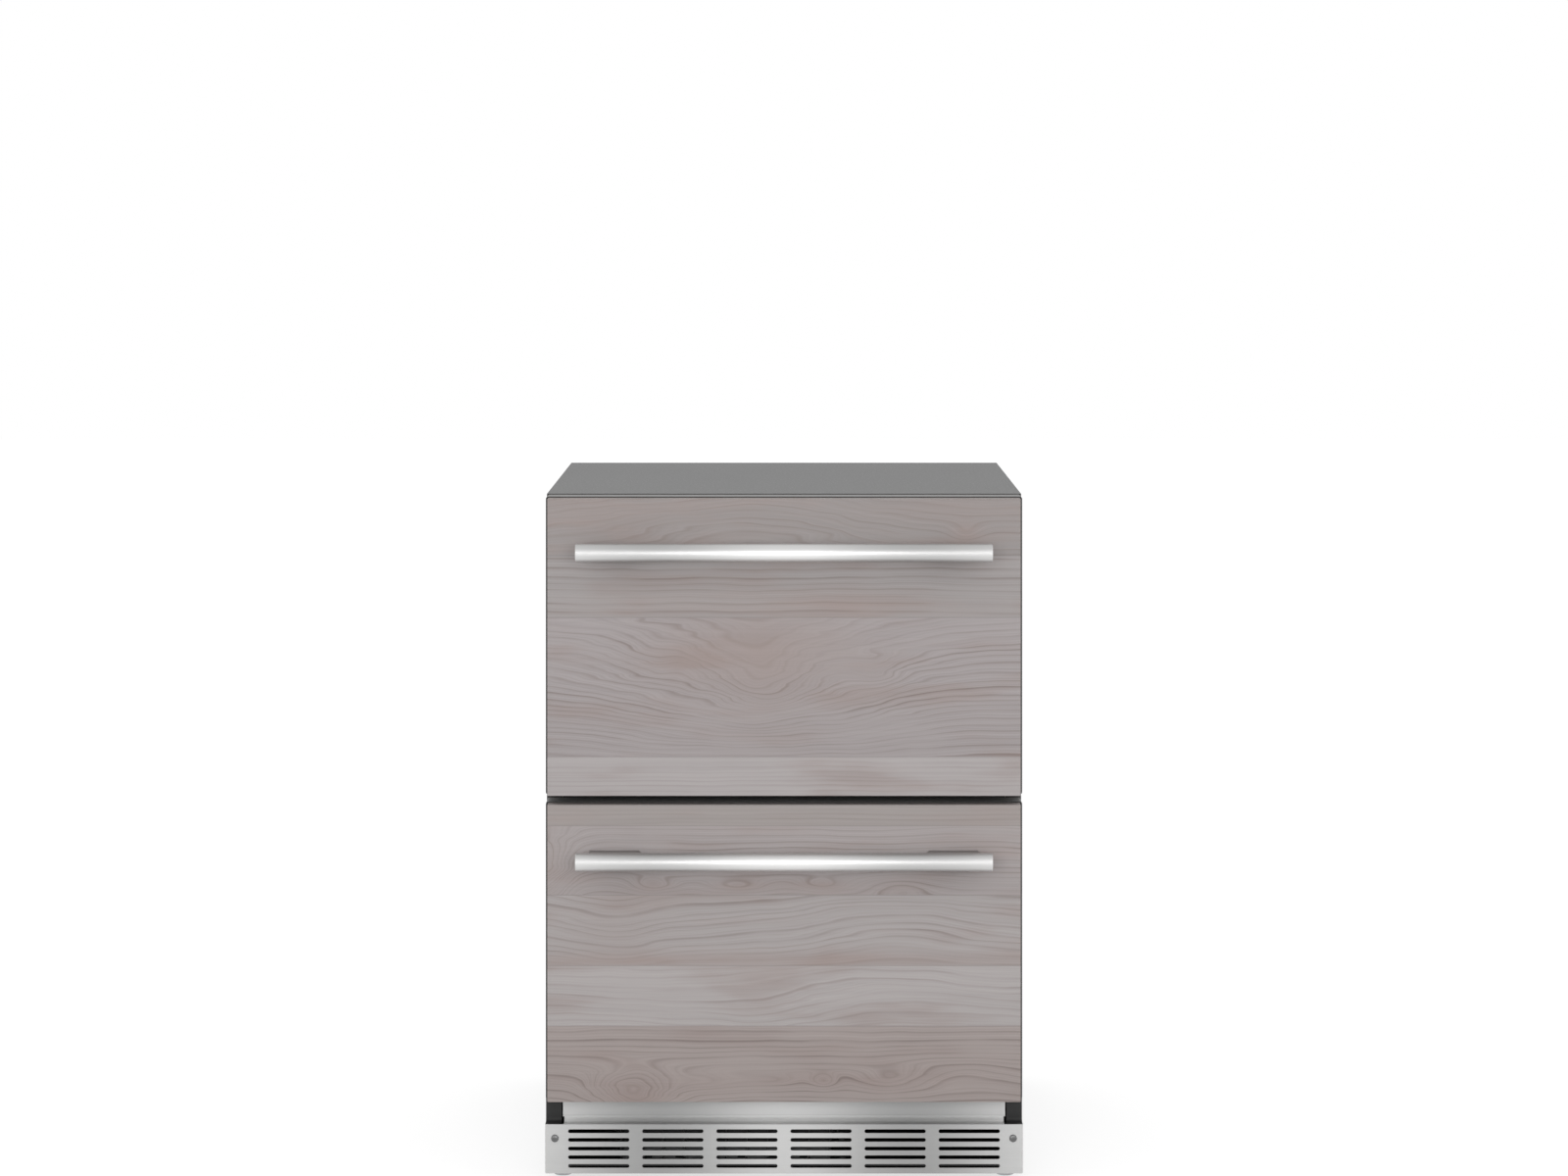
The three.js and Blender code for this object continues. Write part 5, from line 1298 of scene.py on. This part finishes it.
@dataclass
class Feet:
    """The four levelling feet."""

    pad_radius: float = 12.0
    pad_height: float = 6.0
    hexagon: float = 8.0
    stem: float = 5.0
    thread_pitch: float = 1.5
    thread_depth: float = 0.7
    nut_height: float = 6.0

    def build(self) -> None:
        """Builds each foot from its pad up."""
        for end in ("front", "rear"):
            for side, _ in SIDES:
                self._foot(f"{end}_{side}")

    def _foot(self, place: str) -> None:
        """One foot: pad, hexagon for the spanner and a stem with a ridged thread.

        Args:
            place: where it stands, such as front_left.
        """
        node = f"levelling_foot_{place}"
        box = Box.of(node)
        x, y, _ = box.middle
        radius, height = self.pad_radius - 0.01, self.pad_height
        profile = [
            (0.01, 0.0), (radius - 1.2, 0.0), (radius - 0.3, 0.4), (radius, 1.2),
            (radius, height - 1.2), (radius - 0.4, height - 0.4), (radius - 1.2, height),
            (self.stem, height),
        ]
        rise = height + self.nut_height
        root = self.stem - self.thread_depth
        while rise < box.high.z - 2.0:
            profile += [(root, rise), (self.stem, rise + self.thread_pitch / 2.0)]
            rise += self.thread_pitch
        profile += [(root, rise), (self.stem - 1.2, box.high.z), (0.01, box.high.z)]
        foot = Solid().turned(profile, (x, y, 0.0), "Z", 36)
        hexagon = circle(x, y, self.hexagon, 6)
        nut = Solid().plate(Plane.XY, hexagon, height - 1.0, height + self.nut_height).bevelled(0.5)
        foot.join(nut).piece(f"foot_{place}", f"{node}_body", ZINC_SHEET, [node], smooth=30.0)


@dataclass
class CabinetShell:
    """The painted shell, its insulation, liner, trim, control housing and lamp lens."""

    def build(self) -> None:
        """Dresses the sheet, moulded and foam pieces, which keep their CAD shapes."""
        framing = ("side_panel_left", "side_panel_right", "top_panel")
        dress(GREY_PAINT, *framing, "back_panel", "machine_cover")
        self._dark_edges(*framing)
        # The base pan is painted black as painted shade, dark where it shows through the grille's
        # slots.
        dress(BLACK_ENAMEL, "base_pan")
        dress(FOAM, "foam_insulation")
        dress(WHITE_PLASTIC, "inner_liner")
        dress(BLACK_TRIM, "breaker_frame")
        dress(GREY_PLASTIC, "control_housing")
        dress(CLEAR_PLASTIC, "light_lens")

    @staticmethod
    def _dark_edges(*nodes: str) -> None:
        """Paints the front edges of panels black, as the frame behind the drawers is.

        Args:
            nodes: the panels' names.
        """
        for node in nodes:
            repaint(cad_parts[node], BLACK_TRIM, lambda face: face.normal.y < -0.7)


@dataclass
class ColdSide:
    """The evaporator, its fan and the cover in front of them."""

    def build(self) -> None:
        """Dresses the cold side."""
        dress(WHITE_PLASTIC, "evaporator_cover", "evaporator_fan")
        dress(FIN_METAL, "evaporator_coil")
        dress(BLACK_PLASTIC, "evaporator_fan_motor")


@dataclass
class MachineRoom:
    """The compressor, condenser, fan, drain pan and tubes under the insulation."""

    def build(self) -> None:
        """Dresses the machine room."""
        # The condenser coil's black is paint that such coils have, and also painted shade where it
        # shows through the grille's slots.
        dress(BLACK_ENAMEL, "compressor", "condenser_fan_motor", "condenser_coil")
        dress(BLACK_PLASTIC, "drain_pan", "condenser_fan_shroud", "condenser_fan")
        dress(COPPER, "refrigerant_line")


# Studio


@dataclass
class Studio:
    """Plain pale surroundings, soft light and the camera."""

    camera_place: tuple[float, float, float] = (0.0, -4.927375, 1.2583)
    lens: float = 84.69
    rise: float = -0.2509
    floor_half: float = 14.0
    floor_glow: float = 0.68
    floor_colour: float = 0.42
    painted_shadow_colour: float = 0.04
    painted_shadow_patch: tuple[Point2, Point2] = ((-0.28, 0.28), (-0.16, 0.29))
    painted_shadow_fade: float = 0.02
    sky: float = 0.85
    front_light: float = 55.0
    side_light: float = 16.5
    aim: tuple[float, float, float] = (0.0, 0.0, 0.45)

    def build(self) -> None:
        """Builds the surroundings, lamps and camera."""
        self._view_settings()
        self._world()
        self._floor()
        self._lamps()
        self._camera()

    @staticmethod
    def _view_settings() -> None:
        """Plain colour, as it is written."""
        bpy.context.scene.view_settings.view_transform = "Standard"

    def _world(self) -> None:
        """A white surround that is pure white where the camera sees it."""
        world = bpy.data.worlds.new("surround")
        bpy.context.scene.world = world
        graph = Graph(world)
        seen = graph.node("LightPath", output="Is Camera Ray")
        background = graph.tree.nodes["Background"].inputs
        graph.connect(background["Color"], (1.0, 1.0, 1.0, 1.0))
        graph.connect(background["Strength"], seen * (1.0 - self.sky) + self.sky)

    def _floor(self) -> None:
        """A white floor that still takes the object's shadow."""
        material = bpy.data.materials.new("studio_floor")
        graph = Graph(material)
        open_part = self._open_part(graph)
        seen = graph.node("LightPath", output="Is Camera Ray")
        seen = seen.larger(graph.node("LightPath", output="Is Glossy Ray"))
        # Painted shadow: beneath the object the floor is painted dark and its glow is cut.
        paint = open_part * (self.floor_colour - self.painted_shadow_colour) + self.painted_shadow_colour
        matt = graph.node("BsdfDiffuse", {}, {"Color": paint})
        strength = seen * open_part * self.floor_glow
        glow = graph.node("Emission", {}, {"Strength": strength})
        both = graph.node("AddShader", {}, {0: matt, 1: glow})
        graph.tree.nodes.remove(graph.tree.nodes["Principled BSDF"])
        graph.connect(graph.tree.nodes["Material Output"].inputs["Surface"], both)
        half = self.floor_half
        corners = [(-half, -half, 0.0), (half, -half, 0.0), (half, half, 0.0), (-half, half, 0.0)]
        data = bpy.data.meshes.new("studio_floor")
        data.from_pydata(corners, [], [(0, 1, 2, 3)])
        data.materials.append(material)
        placed("studio_floor", data)

    def _open_part(self, graph: Graph) -> Wire:
        """1 on the open floor and 0 beneath the object, where the floor lies in the dark.

        Args:
            graph: the floor's graph.

        Returns:
            The number.
        """
        place = graph.parts(graph.node("NewGeometry", output="Position"))
        edges = []
        for along, (low, high) in zip(place, self.painted_shadow_patch):
            half = (high - low) / 2.0
            edges.append((along - (low + high) / 2.0).size().eased(half, half + self.painted_shadow_fade))
        return edges[0].larger(edges[1])

    def _lamps(self) -> None:
        """A wide soft lamp in front, a little above the object, and a smaller one each side."""
        spots = [("front_lamp", (0.0, -4.2, 1.15), (3.0, 1.4), self.front_light)]
        for side, sign in SIDES:
            spots.append((f"{side}_lamp", (sign * 3.0, -2.4, 1.8), (1.6, 2.2), self.side_light))
        for name, place, size, power in spots:
            light = bpy.data.lights.new(name, "AREA")
            light.shape = "RECTANGLE"
            light.size, light.size_y = size
            light.energy = power
            lamp = placed(name, light)
            lamp.location = place
            aim = Vector(self.aim) - Vector(place)
            lamp.rotation_euler = aim.to_track_quat("-Z", "Y").to_euler()

    def _camera(self) -> None:
        """The level camera; its shift keeps the uprights parallel."""
        lens = bpy.data.cameras.new("camera")
        lens.lens = self.lens
        lens.sensor_width = 36.0
        lens.shift_y = self.rise
        lens.clip_end = 100.0
        camera = placed("camera", lens)
        camera.location = self.camera_place
        camera.rotation_euler = (math.pi / 2.0, 0.0, 0.0)
        bpy.context.scene.camera = camera


def main() -> None:
    """Builds every sub-assembly in order and writes the size of what came out."""
    logging.basicConfig(level=logging.INFO, format="%(name)s: %(message)s")
    CabinetShell().build()
    ColdSide().build()
    MachineRoom().build()
    Feet().build()
    ToeSpace().build()
    for which, wood in zip(DRAWERS, (LOWER_WOOD, UPPER_WOOD)):
        DrawerInside(which).build()
        DrawerFront(which, wood).build()
    Studio().build()


if __name__ == "__main__":
    main()
